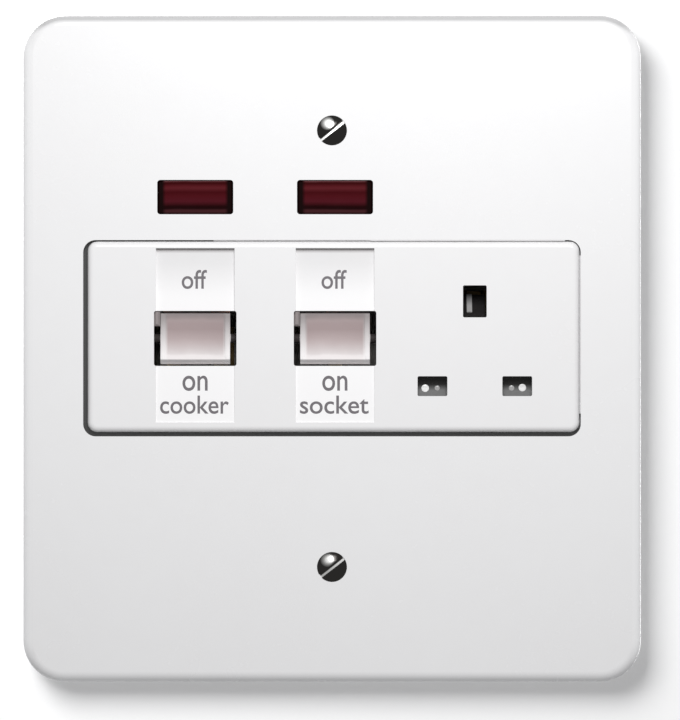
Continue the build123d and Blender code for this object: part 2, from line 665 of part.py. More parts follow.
def supply_live_busbar():
    """The stamped bar from the live supply terminal to both fixed live contacts."""
    top_z = SUPPLY_Z + TERMINAL_HEIGHT / 2
    foot_z = FIXED_TIP_Z - STRIP_BAR / 2
    head_z = BUSBAR_Z + BUSBAR_BAR / 2
    with BuildPart() as bar:
        with BuildSketch(facing(FLOOR_Y)):
            with Locations((LIVE_POLE_X, (top_z + foot_z) / 2)):
                Rectangle(STRIP_BAR, top_z - foot_z)
            with Locations(((LIVE_POLE_X + SWITCH_X) / 2, BUSBAR_Z)):
                Rectangle(SWITCH_X - LIVE_POLE_X, BUSBAR_BAR)
            with Locations((SWITCH_X, (head_z + foot_z) / 2)):
                Rectangle(STRIP_BAR, head_z - foot_z)
            with Locations((LIVE_POLE_X, BUSBAR_Z), (SWITCH_X, BUSBAR_Z)):
                Circle(RIVET_RADIUS + THREAD_CLEARANCE, mode=Mode.SUBTRACT)
        extrude(amount=STRIP_THICKNESS)
    write(bar, "supply_live_busbar")


def supply_neutral_strip():
    """The strip from the neutral supply terminal to the fixed neutral contact."""
    top_z = SUPPLY_Z + TERMINAL_HEIGHT / 2
    foot_z = FIXED_TIP_Z - STRIP_BAR / 2
    with BuildPart() as strip:
        with BuildSketch(facing(FLOOR_Y)):
            with Locations((NEUTRAL_POLE_X, (top_z + foot_z) / 2)):
                Rectangle(STRIP_BAR, top_z - foot_z)
            with Locations((NEUTRAL_POLE_X, BUSBAR_Z)):
                Circle(RIVET_RADIUS + THREAD_CLEARANCE, mode=Mode.SUBTRACT)
        extrude(amount=STRIP_THICKNESS)
    write(strip, "supply_neutral_strip")


def fixed_tips():
    """The silver tips of the fixed contacts, one for each pole."""
    with BuildPart() as tips:
        with BuildSketch(facing(STRIP_FRONT_Y)):
            with Locations(*[(x, FIXED_TIP_Z) for x in POLES]):
                Circle(TIP_RADIUS)
        extrude(amount=FIXED_TIP_THICKNESS)
    write(tips, "fixed_tips")


def contact_rivets():
    """The rivets that hold strips and socket contacts to the housing's floor."""
    contact_seat_y = FLOOR_Y - CONTACT_THICKNESS
    with BuildPart() as rivets:
        for points, seat_y in ((STRIP_RIVETS, STRIP_FRONT_Y), (CONTACT_RIVETS, contact_seat_y)):
            with BuildSketch(facing(seat_y)):
                with Locations(*points):
                    Circle(RIVET_HEAD)
            extrude(amount=RIVET_HEAD_HEIGHT)
            with BuildSketch(facing(FLOOR_Y + RIVET_DEPTH)):
                with Locations(*points):
                    Circle(RIVET_RADIUS)
            extrude(amount=FLOOR_Y + RIVET_DEPTH - seat_y)
    write(rivets, "contact_rivets")


def neutral_link():
    """The raised link from the neutral supply strip over the busbar to the outlet."""
    low_y = STRIP_FRONT_Y - LINK_THICKNESS / 2
    high_y = low_y - LINK_RISE
    foot_y = FLOOR_Y - CONTACT_THICKNESS - LINK_THICKNESS / 2
    foot_z = PIN_Z + CONTACT_HEEL + 2 * CONTACT_THICKNESS
    with BuildPart() as link:
        with BuildSketch(Plane.XY.offset(NEUTRAL_LINK_Z)):
            with BuildLine():
                FilletPolyline(
                    (NEUTRAL_POLE_X - LINK_FOOT / 2, low_y),
                    (NEUTRAL_POLE_X + LINK_FOOT / 2, low_y),
                    (NEUTRAL_POLE_X + LINK_FOOT / 2 + LINK_SLOPE, high_y),
                    (NEUTRAL_PIN_X + LINK_BAR / 2, high_y),
                    radius=LINK_BEND,
                )
            trace(line_width=LINK_THICKNESS)
        extrude(amount=LINK_BAR / 2, both=True)
        with BuildSketch(Plane.YZ.offset(NEUTRAL_PIN_X)):
            with BuildLine():
                FilletPolyline(
                    (high_y, NEUTRAL_LINK_Z),
                    (high_y, foot_z + LINK_FOOT + LINK_SLOPE),
                    (foot_y, foot_z + LINK_FOOT),
                    (foot_y, foot_z),
                    radius=LINK_BEND,
                )
            trace(line_width=LINK_THICKNESS)
        extrude(amount=LINK_BAR / 2, both=True)
    write(link, "neutral_link")


def switched_live_link():
    """The raised link from the socket switch over the earth strap to the live contact."""
    low_y = STRIP_FRONT_Y - LINK_THICKNESS / 2
    high_y = low_y - LINK_RISE
    foot_y = FLOOR_Y - CONTACT_THICKNESS - LINK_THICKNESS / 2
    with BuildPart() as link:
        with BuildSketch(Plane.XY.offset(LIVE_LINK_Z)):
            with BuildLine():
                FilletPolyline(
                    (SWITCH_X - LINK_FOOT / 2, low_y),
                    (SWITCH_X + LINK_FOOT / 2, low_y),
                    (SWITCH_X + LINK_FOOT / 2 + LINK_SLOPE, high_y),
                    (LIVE_PIN_X - LINK_FOOT / 2 - LINK_SLOPE, high_y),
                    (LIVE_PIN_X - LINK_FOOT / 2, foot_y),
                    (LIVE_PIN_X + LINK_FOOT / 2, foot_y),
                    radius=LINK_BEND,
                )
            trace(line_width=LINK_THICKNESS)
        extrude(amount=LINK_BAR / 2, both=True)
    write(link, "switched_live_link")


def jaws(plane, front_y):
    """The side profile of two spring fingers on a heel, which grip a pin."""
    heel_y = FLOOR_Y - CONTACT_THICKNESS / 2
    with BuildSketch(plane) as profile:
        with BuildLine():
            FilletPolyline(
                (front_y, CONTACT_FLARE),
                (front_y + CONTACT_LEAD, CONTACT_GRIP),
                (heel_y, CONTACT_HEEL),
                (heel_y, -CONTACT_HEEL),
                (front_y + CONTACT_LEAD, -CONTACT_GRIP),
                (front_y, -CONTACT_FLARE),
                radius=CONTACT_BEND,
            )
        trace(line_width=CONTACT_THICKNESS)
    return profile.sketch


def outlet_contact(name, profile, centre_x, pin_z, tail_z):
    """One outlet contact: its jaws, its flat tail on the housing's floor and a rivet hole."""
    with BuildPart() as contact:
        extrude(profile, amount=CONTACT_WIDTH / 2, both=True)
        with BuildSketch(facing(FLOOR_Y)):
            with Locations((centre_x, (pin_z + tail_z) / 2)):
                Rectangle(CONTACT_WIDTH, abs(pin_z - tail_z))
        extrude(amount=CONTACT_THICKNESS)
        with BuildSketch(facing(FLOOR_Y)):
            with Locations((centre_x, pin_z)):
                Circle(RIVET_RADIUS + THREAD_CLEARANCE)
        extrude(amount=2 * CONTACT_THICKNESS, mode=Mode.SUBTRACT)
    write(contact, name)


def outlet_contacts():
    """The live, neutral and earth contacts, the earth with its strap to the terminal."""
    front_y = COVER_BACK_Y + 2 * SHUTTER_GAP
    live_side = Plane(origin=(LIVE_PIN_X, 0, PIN_Z), x_dir=(0, 1, 0), z_dir=(1, 0, 0))
    neutral_side = Plane(origin=(NEUTRAL_PIN_X, 0, PIN_Z), x_dir=(0, 1, 0), z_dir=(1, 0, 0))
    earth_top = Plane(origin=(SOCKET_X, 0, EARTH_Z), x_dir=(0, 1, 0), z_dir=(0, 0, 1))
    neutral_tail = PIN_Z + CONTACT_HEEL + 2 * CONTACT_THICKNESS + LINK_FOOT
    outlet_contact("socket_live_contact", jaws(live_side, front_y), LIVE_PIN_X, PIN_Z,
                   LIVE_LINK_Z - LINK_BAR / 2)
    outlet_contact("socket_neutral_contact", jaws(neutral_side, front_y), NEUTRAL_PIN_X, PIN_Z,
                   neutral_tail)
    outlet_contact("socket_earth_contact", jaws(earth_top, EARTH_CONTACT_FRONT), SOCKET_X, EARTH_Z,
                   LOAD_Z - TERMINAL_HEIGHT / 2)


def shutter():
    """The sliding shutter: two wings over the pin slots and the ramp behind the earth slot."""
    arm_top = EARTH_Z - EARTH_HEIGHT / 2
    wing_top = PIN_Z + WING_HEIGHT / 2
    with BuildPart() as body:
        with BuildSketch(facing(SHUTTER_BACK_Y)):
            with Locations((SOCKET_X, PIN_Z)):
                RectangleRounded(WING_SPAN, WING_HEIGHT, SLOT_CORNER)
            with Locations((SOCKET_X, (wing_top + arm_top) / 2)):
                Rectangle(ARM_BAR, arm_top - wing_top)
            with Locations((SOCKET_X, (wing_top + WINDOW_TOP) / 2)):
                Rectangle(WINDOW_WIDTH, WINDOW_TOP - wing_top, mode=Mode.SUBTRACT)
        extrude(amount=SHUTTER_THICKNESS)
        with BuildSketch(Plane.YZ.offset(SOCKET_X)):
            with BuildLine():
                Polyline(
                    (SHUTTER_FRONT_Y, arm_top),
                    (SHUTTER_FRONT_Y + WEDGE_DEPTH, arm_top + WEDGE_RISE),
                    (SHUTTER_FRONT_Y + WEDGE_DEPTH, arm_top + WEDGE_RISE - WEDGE_SECTION),
                    (SHUTTER_BACK_Y, WINDOW_TOP),
                    (SHUTTER_FRONT_Y, WINDOW_TOP),
                    close=True,
                )
            make_face()
        extrude(amount=WEDGE_WIDTH / 2, both=True)
    write(body, "shutter")


def shutter_spring():
    """The spring between the panel's peg and the top of the shutter's window."""
    peg_top = PEG_Z + PEG_HEIGHT / 2
    middle_y = (SHUTTER_FRONT_Y + SHUTTER_BACK_Y) / 2
    start = Plane(origin=(SOCKET_X, middle_y, peg_top), x_dir=(1, 0, 0), z_dir=(0, 0, 1))
    reach = (SHUTTER_THICKNESS - SHUTTER_SPRING_WIRE) / 2
    spring = coil(reach, SHUTTER_SPRING_WIRE, SHUTTER_SPRING_TURNS, start, WINDOW_TOP - peg_top)
    write(spring, "shutter_spring")


def shutter_cover():
    """The moulded plate that holds the shutter against the panel's back."""
    arm_top = EARTH_Z - EARTH_HEIGHT / 2
    way_foot = arm_top - SHUTTER_TRAVEL - WEDGE_SECTION
    way_top = EARTH_Z + EARTH_HEIGHT / 2
    with BuildPart() as cover:
        with BuildSketch(facing(COVER_BACK_Y)):
            with Locations((SOCKET_X, (COVER_TOP + COVER_BOTTOM) / 2)):
                RectangleRounded(COVER_WIDTH, COVER_TOP - COVER_BOTTOM, INSERT_CORNER)
            with Locations((NEUTRAL_PIN_X, PIN_Z), (LIVE_PIN_X, PIN_Z)):
                Rectangle(SLOT_WIDTH, SLOT_HEIGHT, mode=Mode.SUBTRACT)
            with Locations((SOCKET_X, (way_foot + way_top) / 2)):
                Rectangle(WEDGE_WIDTH + 4 * RAIL_GAP, way_top - way_foot, mode=Mode.SUBTRACT)
            with Locations((SOCKET_X, COVER_SCREW_Z)):
                with GridLocations(COVER_SCREW_SPAN, 0, 2, 1):
                    Circle(COVER_SCREW_RADIUS + HOLE_CLEARANCE, mode=Mode.SUBTRACT)
        extrude(amount=COVER_THICKNESS)
    write(cover, "shutter_cover")
    with BuildPart() as screws:
        with BuildSketch(facing(COVER_BACK_Y)):
            with Locations((SOCKET_X, COVER_SCREW_Z)):
                with GridLocations(COVER_SCREW_SPAN, 0, 2, 1):
                    Circle(COVER_SCREW_HEAD)
        extrude(amount=-COVER_SCREW_RADIUS)
        with BuildSketch(facing(COVER_BACK_Y)):
            with Locations((SOCKET_X, COVER_SCREW_Z)):
                with GridLocations(COVER_SCREW_SPAN, 0, 2, 1):
                    Circle(COVER_SCREW_RADIUS)
        extrude(amount=COVER_BACK_Y - PANEL_BACK_Y)
    write(screws, "shutter_cover_screws")


def terminal(name, centre_x, centre_z, width, bores):
    """A brass tunnel terminal with upright cable bores and threaded holes at the back."""
    with BuildPart() as block:
        with BuildSketch(facing(FLOOR_Y)):
            with Locations((centre_x, centre_z)):
                Rectangle(width, TERMINAL_HEIGHT)
        extrude(amount=-TERMINAL_DEPTH)
        chamfer(block.edges().filter_by(Axis.Z), CABLE_WALL / 3)
        with BuildSketch(Plane.XY.offset(centre_z)):
            with Locations(*[(centre_x + bore, CABLE_Y) for bore in bores]):
                Circle(CABLE_RADIUS)
        extrude(amount=TERMINAL_HEIGHT, both=True, mode=Mode.SUBTRACT)
        with BuildSketch(facing(TERMINAL_BACK_Y)):
            with Locations(*[(centre_x + bore, centre_z) for bore in bores]):
                with GridLocations(0, CLAMP_PITCH, 1, 2):
                    Circle(CLAMP_RADIUS + THREAD_CLEARANCE)
        extrude(amount=TERMINAL_BACK_Y - CABLE_Y, mode=Mode.SUBTRACT)
    write(block, name)


def clamp_points():
    """The places of all the terminals' clamping screws."""
    points = []
    for z in (SUPPLY_Z, LOAD_Z):
        points += [(LIVE_POLE_X, z), (NEUTRAL_POLE_X, z)]
    points += [(SOCKET_X - EARTH_BORE_PITCH / 2, LOAD_Z), (SOCKET_X + EARTH_BORE_PITCH / 2, LOAD_Z)]
    return [(x, z + side * CLAMP_PITCH / 2) for x, z in points for side in (-1, 1)]


def terminal_screws():
    """The slotted screws that clamp the cables, reached from the back."""
    seat_y = TERMINAL_BACK_Y + 2 * THREAD_CLEARANCE
    end_y = CABLE_Y + CABLE_RADIUS + CLAMP_BACKOFF
    with BuildPart() as screws:
        with BuildSketch(facing(seat_y)):
            with Locations(*clamp_points()):
                Circle(CLAMP_HEAD_RADIUS)
        extrude(amount=-CLAMP_HEAD_HEIGHT)
        with BuildSketch(facing(seat_y)):
            with Locations(*clamp_points()):
                Circle(CLAMP_RADIUS)
        extrude(amount=seat_y - end_y)
        with BuildSketch(facing(seat_y + CLAMP_HEAD_HEIGHT)):
            with Locations(*clamp_points()):
                Rectangle(3 * CLAMP_HEAD_RADIUS, CLAMP_SLOT)
        extrude(amount=CLAMP_SLOT, mode=Mode.SUBTRACT)
    write(screws, "terminal_screws")


def base_housing():
    """The base moulding: a tray with chambers in front, terminal pockets and cored back."""
    inner_width = HOUSING_WIDTH - 2 * HOUSING_WALL
    inner_height = HOUSING_HEIGHT - 2 * HOUSING_WALL
    rim_y = FLANGE_BACK_Y
    chamber_height = UPPER_WALL_Z - LOWER_WALL_Z
    chamber_z = (UPPER_WALL_Z + LOWER_WALL_Z) / 2
    with BuildPart() as housing:
        with BuildSketch(facing(HOUSING_BACK_Y)):
            with Locations((0, HOUSING_Z)):
                RectangleRounded(HOUSING_WIDTH, HOUSING_HEIGHT, HOUSING_CORNER)
        extrude(amount=HOUSING_BACK_Y - rim_y)
        with BuildSketch(facing(FLOOR_Y)):
            with Locations((0, HOUSING_Z)):
                Rectangle(inner_width, inner_height)
        extrude(amount=FLOOR_Y - rim_y, mode=Mode.SUBTRACT)
        # Partitions under the insert's flange and beside the two switches
        with BuildSketch(facing(FLOOR_Y)):
            with Locations((0, UPPER_WALL_Z), (0, LOWER_WALL_Z)):
                Rectangle(inner_width, PARTITION)
            for x in SWITCH_CENTRES:
                with Locations((x - KEEPER_X, chamber_z), (x + KEEPER_X, chamber_z)):
                    Rectangle(PARTITION, chamber_height)
            with Locations((SOCKET_X - COVER_WIDTH / 2 - PARTITION, chamber_z),
                           (SOCKET_X + COVER_WIDTH / 2 + PARTITION, chamber_z)):
                Rectangle(PARTITION, chamber_height)
            with Locations(*HOUSING_SCREW_POINTS):
                Circle(COLUMN_RADIUS)
        extrude(amount=FLOOR_Y - rim_y)
        # Keepers behind the trunnions, and the barrier between the cooker switch's poles
        with BuildSketch(facing(rim_y)):
            for x in SWITCH_CENTRES:
                with Locations((x - KEEPER_X, OPENING_Z), (x + KEEPER_X, OPENING_Z)):
                    Rectangle(PARTITION, KEEPER_WIDTH)
        extrude(amount=rim_y - PIVOT_Y - TRUNNION_RADIUS - KEEPER_GAP)
        with BuildSketch(facing(FLOOR_Y)):
            with Locations((COOKER_X, chamber_z)):
                Rectangle(PARTITION, chamber_height)
            with Locations((COOKER_X, SUPPLY_Z), (COOKER_X, LOAD_Z)):
                Rectangle(PARTITION, TERMINAL_HEIGHT)
        extrude(amount=TERMINAL_BARRIER)
        # Ways through the partitions for strips and links
        with BuildSketch(facing(FLOOR_Y)):
            with Locations((LIVE_POLE_X, UPPER_WALL_Z), (NEUTRAL_POLE_X, UPPER_WALL_Z),
                           (LIVE_POLE_X, LOWER_WALL_Z), (NEUTRAL_POLE_X, LOWER_WALL_Z),
                           (SOCKET_X, LOWER_WALL_Z)):
                Rectangle(STRIP_BAR + 2 * POCKET_CLEARANCE, 2 * PARTITION)
            way_top = NEUTRAL_LINK_Z + LINK_BAR / 2
            way_foot = BUSBAR_Z - BUSBAR_BAR / 2 - POCKET_CLEARANCE
            with Locations(((NEUTRAL_POLE_X + NEUTRAL_PIN_X) / 2, (way_top + way_foot) / 2)):
                Rectangle(NEUTRAL_PIN_X - NEUTRAL_POLE_X, way_top - way_foot)
            with Locations(((SWITCH_X + LIVE_PIN_X) / 2, LIVE_LINK_Z)):
                Rectangle(LIVE_PIN_X - SWITCH_X, LINK_BAR + 2 * POCKET_CLEARANCE)
        extrude(amount=FLOOR_Y - rim_y, mode=Mode.SUBTRACT)
        # Deep pockets for the terminals
        with BuildSketch(facing(FLOOR_Y)):
            with Locations(*[(x, z) for x in (LIVE_POLE_X, NEUTRAL_POLE_X) for z in (SUPPLY_Z, LOAD_Z)]):
                Rectangle(TERMINAL_WIDTH + 2 * POCKET_CLEARANCE, TERMINAL_HEIGHT + 2 * POCKET_CLEARANCE)
            with Locations((SOCKET_X, LOAD_Z)):
                Rectangle(EARTH_TERMINAL_WIDTH + 2 * POCKET_CLEARANCE,
                          TERMINAL_HEIGHT + 2 * POCKET_CLEARANCE)
        extrude(amount=-TERMINAL_DEPTH, mode=Mode.SUBTRACT)
        with BuildSketch(facing(TERMINAL_BACK_Y)):
            with Locations(*clamp_points()):
                Circle(CLAMP_HEAD_RADIUS + 2 * POCKET_CLEARANCE)
        extrude(amount=-BACK_WALL, mode=Mode.SUBTRACT)
        # Cable entries in the top and bottom walls
        with BuildSketch(Plane.XY.offset(HOUSING_TOP)):
            with Locations((LIVE_POLE_X, CABLE_Y), (NEUTRAL_POLE_X, CABLE_Y)):
                Circle(CABLE_ENTRY_RADIUS)
        extrude(amount=SUPPLY_Z - HOUSING_TOP, mode=Mode.SUBTRACT)
        with BuildSketch(Plane.XY.offset(HOUSING_BOTTOM)):
            with Locations((LIVE_POLE_X, CABLE_Y), (NEUTRAL_POLE_X, CABLE_Y),
                           (SOCKET_X - EARTH_BORE_PITCH / 2, CABLE_Y),
                           (SOCKET_X + EARTH_BORE_PITCH / 2, CABLE_Y)):
                Circle(CABLE_ENTRY_RADIUS)
        extrude(amount=LOAD_Z - HOUSING_BOTTOM, mode=Mode.SUBTRACT)
        # Cored back, in columns and rows between ribs
        core_pitch = inner_width / CORE_COLUMNS
        row_pitch = chamber_height / CORE_ROWS
        with BuildSketch(facing(HOUSING_BACK_Y)):
            with Locations((0, chamber_z)):
                with GridLocations(core_pitch, row_pitch, CORE_COLUMNS, CORE_ROWS):
                    Rectangle(core_pitch - PARTITION, row_pitch - PARTITION)
        extrude(amount=HOUSING_BACK_Y - FLOOR_BACK_Y, mode=Mode.SUBTRACT)
        # Screw holes at the corners, with deep counterbores, and the rivets' holes
        with BuildSketch(facing(HOUSING_BACK_Y)):
            with Locations(*HOUSING_SCREW_POINTS):
                Circle(HOUSING_SCREW_HEAD + HOLE_CLEARANCE)
        extrude(amount=HOUSING_BACK_Y - HOUSING_SCREW_SEAT, mode=Mode.SUBTRACT)
        with BuildSketch(facing(HOUSING_BACK_Y)):
            with Locations(*HOUSING_SCREW_POINTS):
                Circle(HOUSING_SCREW_RADIUS + HOLE_CLEARANCE)
        extrude(amount=HOUSING_BACK_Y - rim_y, mode=Mode.SUBTRACT)
        with BuildSketch(facing(FLOOR_Y)):
            with Locations(*STRIP_RIVETS, *CONTACT_RIVETS):
                Circle(RIVET_RADIUS + THREAD_CLEARANCE)
        extrude(amount=-RIVET_DEPTH - THREAD_CLEARANCE, mode=Mode.SUBTRACT)
    write(housing, "base_housing")


def housing_screws():
    """The four self-tapping screws that hold the housing to the plate."""
    with BuildPart() as screws:
        with BuildSketch(facing(HOUSING_SCREW_SEAT)):
            with Locations(*HOUSING_SCREW_POINTS):
                Circle(HOUSING_SCREW_HEAD)
        extrude(amount=-HOUSING_SCREW_HEAD_HEIGHT)
        with BuildSketch(facing(HOUSING_SCREW_SEAT)):
            with Locations(*HOUSING_SCREW_POINTS):
                Circle(HOUSING_SCREW_RADIUS)
        extrude(amount=HOUSING_SCREW_SEAT - FLANGE_BACK_Y + HOUSING_SCREW_BITE)
        with BuildSketch(facing(HOUSING_SCREW_SEAT + HOUSING_SCREW_HEAD_HEIGHT)):
            with Locations(*HOUSING_SCREW_POINTS):
                Rectangle(3 * HOUSING_SCREW_HEAD, CLAMP_SLOT)
        extrude(amount=CLAMP_SLOT, mode=Mode.SUBTRACT)
    write(screws, "housing_screws")


def neon_indicator(name, centre_x):
    """One neon indicator: its lens, its holder, the lamp and the lamp's resistor."""
    lens_front = PLATE_FRONT_Y + LENS_SETBACK
    with BuildPart() as lens:
        with BuildSketch(facing(HOLDER_FRONT_Y)):
            with Locations((centre_x, NEON_Z)):
                RectangleRounded(NEON_WIDTH + 2 * LENS_FLANGE, NEON_HEIGHT + 2 * LENS_FLANGE, NEON_CORNER)
        extrude(amount=LENS_FLANGE_THICKNESS)
        with BuildSketch(facing(HOLDER_FRONT_Y)):
            with Locations((centre_x, NEON_Z)):
                RectangleRounded(NEON_WIDTH - 2 * LENS_GAP, NEON_HEIGHT - 2 * LENS_GAP, NEON_CORNER)
        extrude(amount=HOLDER_FRONT_Y - lens_front)
        chamfer(lens.faces().sort_by(Axis.Y)[0].edges(), NEON_CORNER / 2)
        with BuildSketch(facing(HOLDER_FRONT_Y)):
            with Locations((centre_x, NEON_Z)):
                Rectangle(NEON_WIDTH - 2 * LENS_WALL, NEON_HEIGHT - 2 * LENS_WALL)
        extrude(amount=HOLDER_FRONT_Y - lens_front - LENS_WALL, mode=Mode.SUBTRACT)
    write(lens, f"{name}_neon_lens")
    with BuildPart() as holder:
        with BuildSketch(facing(HOLDER_BOX_Y)):
            with Locations((centre_x, NEON_Z)):
                RectangleRounded(HOLDER_WIDTH, HOLDER_HEIGHT, NEON_CORNER)
                with GridLocations(POST_SPAN, 0, 2, 1):
                    Circle(POST_RADIUS + THREAD_CLEARANCE, mode=Mode.SUBTRACT)
        extrude(amount=HOLDER_THICKNESS)
        with BuildSketch(facing(HOLDER_BACK_Y)):
            with Locations((centre_x, NEON_Z)):
                Rectangle(HOLDER_BOX_WIDTH, HOLDER_BOX_HEIGHT)
        extrude(amount=HOLDER_BOX_DEPTH)
        with BuildSketch(facing(HOLDER_BACK_Y - HOLDER_WALL)):
            with Locations((centre_x, NEON_Z)):
                Rectangle(HOLDER_BOX_WIDTH - 2 * HOLDER_WALL, HOLDER_BOX_HEIGHT - 2 * HOLDER_WALL)
        extrude(amount=HOLDER_BOX_DEPTH + HOLDER_THICKNESS, mode=Mode.SUBTRACT)
    write(holder, f"{name}_neon_holder")
    lamp_start = centre_x - LAMP_LENGTH / 2
    with BuildPart() as lamp:
        with BuildSketch(Plane.XY.offset(NEON_Z + LAMP_RAISE)):
            lamp_y = HOLDER_BACK_Y - HOLDER_WALL - LAMP_RADIUS
            with BuildLine():
                Polyline(
                    (lamp_start + LAMP_LENGTH - LAMP_RADIUS, lamp_y - LAMP_RADIUS),
                    (lamp_start, lamp_y - LAMP_RADIUS),
                    (lamp_start, lamp_y),
                    (lamp_start + LAMP_LENGTH, lamp_y),
                )
                RadiusArc((lamp_start + LAMP_LENGTH, lamp_y),
                          (lamp_start + LAMP_LENGTH - LAMP_RADIUS, lamp_y - LAMP_RADIUS), -LAMP_RADIUS)
            make_face()
        revolve(axis=Axis((centre_x, lamp_y, NEON_Z + LAMP_RAISE), (1, 0, 0)))
    write(lamp, f"{name}_neon_lamp")
    floor_y = HOLDER_BACK_Y - HOLDER_WALL
    tray_foot = NEON_Z - HOLDER_BOX_HEIGHT / 2 + HOLDER_WALL
    with BuildPart() as resistor:
        with BuildSketch(Plane.YZ.offset(centre_x)):
            with Locations((floor_y - RESISTOR_RADIUS, tray_foot + RESISTOR_RADIUS)):
                Circle(RESISTOR_RADIUS)
        extrude(amount=RESISTOR_LENGTH / 2, both=True)
    write(resistor, f"{name}_neon_resistor")


front_plate()
fixing_screws()
captive_washers()
insert_panel()
rocker("cooker_rocker", COOKER_X, [(-POLE_OFFSET, 0), (POLE_OFFSET, 0)])
rocker("socket_rocker", SWITCH_X, [(0, 0)])
for pole_name, pole_x in (("cooker_live", LIVE_POLE_X), ("cooker_neutral", NEUTRAL_POLE_X),
                          ("socket_live", SWITCH_X)):
    plunger(f"{pole_name}_plunger", pole_x)
    plunger_spring(f"{pole_name}_spring", pole_x)
    contact_arm(f"{pole_name}_arm", f"{pole_name}_tip", pole_x)
knife_strip("cooker_live_strip", LIVE_POLE_X, LOAD_Z - TERMINAL_HEIGHT / 2)
knife_strip("cooker_neutral_strip", NEUTRAL_POLE_X, LOAD_Z - TERMINAL_HEIGHT / 2)
knife_strip("socket_switch_strip", SWITCH_X, LIVE_LINK_Z - LINK_BAR / 2)
supply_live_busbar()
supply_neutral_strip()
fixed_tips()
contact_rivets()
neutral_link()
switched_live_link()
outlet_contacts()
shutter()
shutter_spring()
shutter_cover()
terminal("supply_live_terminal", LIVE_POLE_X, SUPPLY_Z, TERMINAL_WIDTH, [0])
terminal("supply_neutral_terminal", NEUTRAL_POLE_X, SUPPLY_Z, TERMINAL_WIDTH, [0])
terminal("cooker_live_terminal", LIVE_POLE_X, LOAD_Z, TERMINAL_WIDTH, [0])
terminal("cooker_neutral_terminal", NEUTRAL_POLE_X, LOAD_Z, TERMINAL_WIDTH, [0])
terminal("earth_terminal", SOCKET_X, LOAD_Z, EARTH_TERMINAL_WIDTH,
         [-EARTH_BORE_PITCH / 2, EARTH_BORE_PITCH / 2])
terminal_screws()
base_housing()
housing_screws()
neon_indicator("cooker", COOKER_X)
neon_indicator("socket", SWITCH_X)
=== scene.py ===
"""Looks for a cooker control unit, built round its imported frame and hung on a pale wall."""

import logging
import math
from collections.abc import Iterable, Sequence
from dataclasses import dataclass, field
from enum import Enum
from typing import Any, Protocol

import bmesh
import bpy
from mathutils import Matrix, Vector


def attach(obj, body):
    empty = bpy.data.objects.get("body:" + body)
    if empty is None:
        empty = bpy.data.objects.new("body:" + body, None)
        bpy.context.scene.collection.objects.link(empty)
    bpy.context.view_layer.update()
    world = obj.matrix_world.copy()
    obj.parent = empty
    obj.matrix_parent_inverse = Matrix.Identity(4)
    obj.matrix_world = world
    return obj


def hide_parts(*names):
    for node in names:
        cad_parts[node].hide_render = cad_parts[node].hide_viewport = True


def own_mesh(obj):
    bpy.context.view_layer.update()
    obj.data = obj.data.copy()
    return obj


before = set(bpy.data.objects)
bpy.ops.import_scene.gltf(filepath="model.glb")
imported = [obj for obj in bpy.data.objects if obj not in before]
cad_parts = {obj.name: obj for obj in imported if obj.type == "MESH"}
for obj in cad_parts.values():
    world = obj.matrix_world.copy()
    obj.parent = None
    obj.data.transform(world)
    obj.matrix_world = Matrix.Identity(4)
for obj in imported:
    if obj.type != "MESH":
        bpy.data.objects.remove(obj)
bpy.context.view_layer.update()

LOG = logging.getLogger("cooker_control_unit")
MM = 0.001

Colour = tuple[float, float, float]
Point = tuple[float, float, float]

# The middle of each switch's column, shared by its strip, opening, rocker and neon indicator.
SWITCH_X = {"cooker": -35.8 * MM, "socket": 0.8 * MM}


class Socket:
    """An output of a shader node that takes part in ordinary arithmetic."""

    def __init__(self, graph: "Graph", end: bpy.types.NodeSocket) -> None:
        """Keeps the output and the graph that it belongs to."""
        self.graph = graph
        self.end = end

    def _math(self, operation: str, *values: "Socket | float") -> "Socket":
        """Adds one Math node.

        Args:
            operation: the Math node's operation.
            values: its inputs, in order, as numbers or sockets.

        Returns:
            The node's result.
        """
        inputs = dict(enumerate(values))
        return self.graph.node("ShaderNodeMath", {"operation": operation}, inputs)

    def __add__(self, other: "Socket | float") -> "Socket":
        """self + other."""
        return self._math("ADD", self, other)

    def __radd__(self, other: "Socket | float") -> "Socket":
        """other + self."""
        return self._math("ADD", other, self)

    def __sub__(self, other: "Socket | float") -> "Socket":
        """self - other."""
        return self._math("SUBTRACT", self, other)

    def __rsub__(self, other: "Socket | float") -> "Socket":
        """other - self."""
        return self._math("SUBTRACT", other, self)

    def __mul__(self, other: "Socket | float") -> "Socket":
        """self * other."""
        return self._math("MULTIPLY", self, other)

    def __rmul__(self, other: "Socket | float") -> "Socket":
        """other * self."""
        return self._math("MULTIPLY", other, self)

    def __pow__(self, other: "Socket | float") -> "Socket":
        """self ** other."""
        return self._math("POWER", self, other)

    def __gt__(self, other: "Socket | float") -> "Socket":
        """1 where self is greater than other, else 0."""
        return self._math("GREATER_THAN", self, other)

    def distance(self, centre: float) -> "Socket":
        """How far the value lies from a centre."""
        offset = self - centre
        return offset._math("ABSOLUTE", offset)

    def larger(self, other: "Socket | float") -> "Socket":
        """The larger of two values."""
        return self._math("MAXIMUM", self, other)

    def between(self, low: float, high: float, start: float = 0.0, stop: float = 1.0) -> "Socket":
        """Maps the value's stretch from low to high onto start to stop, and clamps it.

        Args:
            low: the value that gives start.
            high: the value that gives stop.
            start: the first result.
            stop: the last result.

        Returns:
            The mapped value.
        """
        inputs = {"Value": self, "From Min": low, "From Max": high, "To Min": start, "To Max": stop}
        return self.graph.node("ShaderNodeMapRange", {"clamp": True}, inputs)


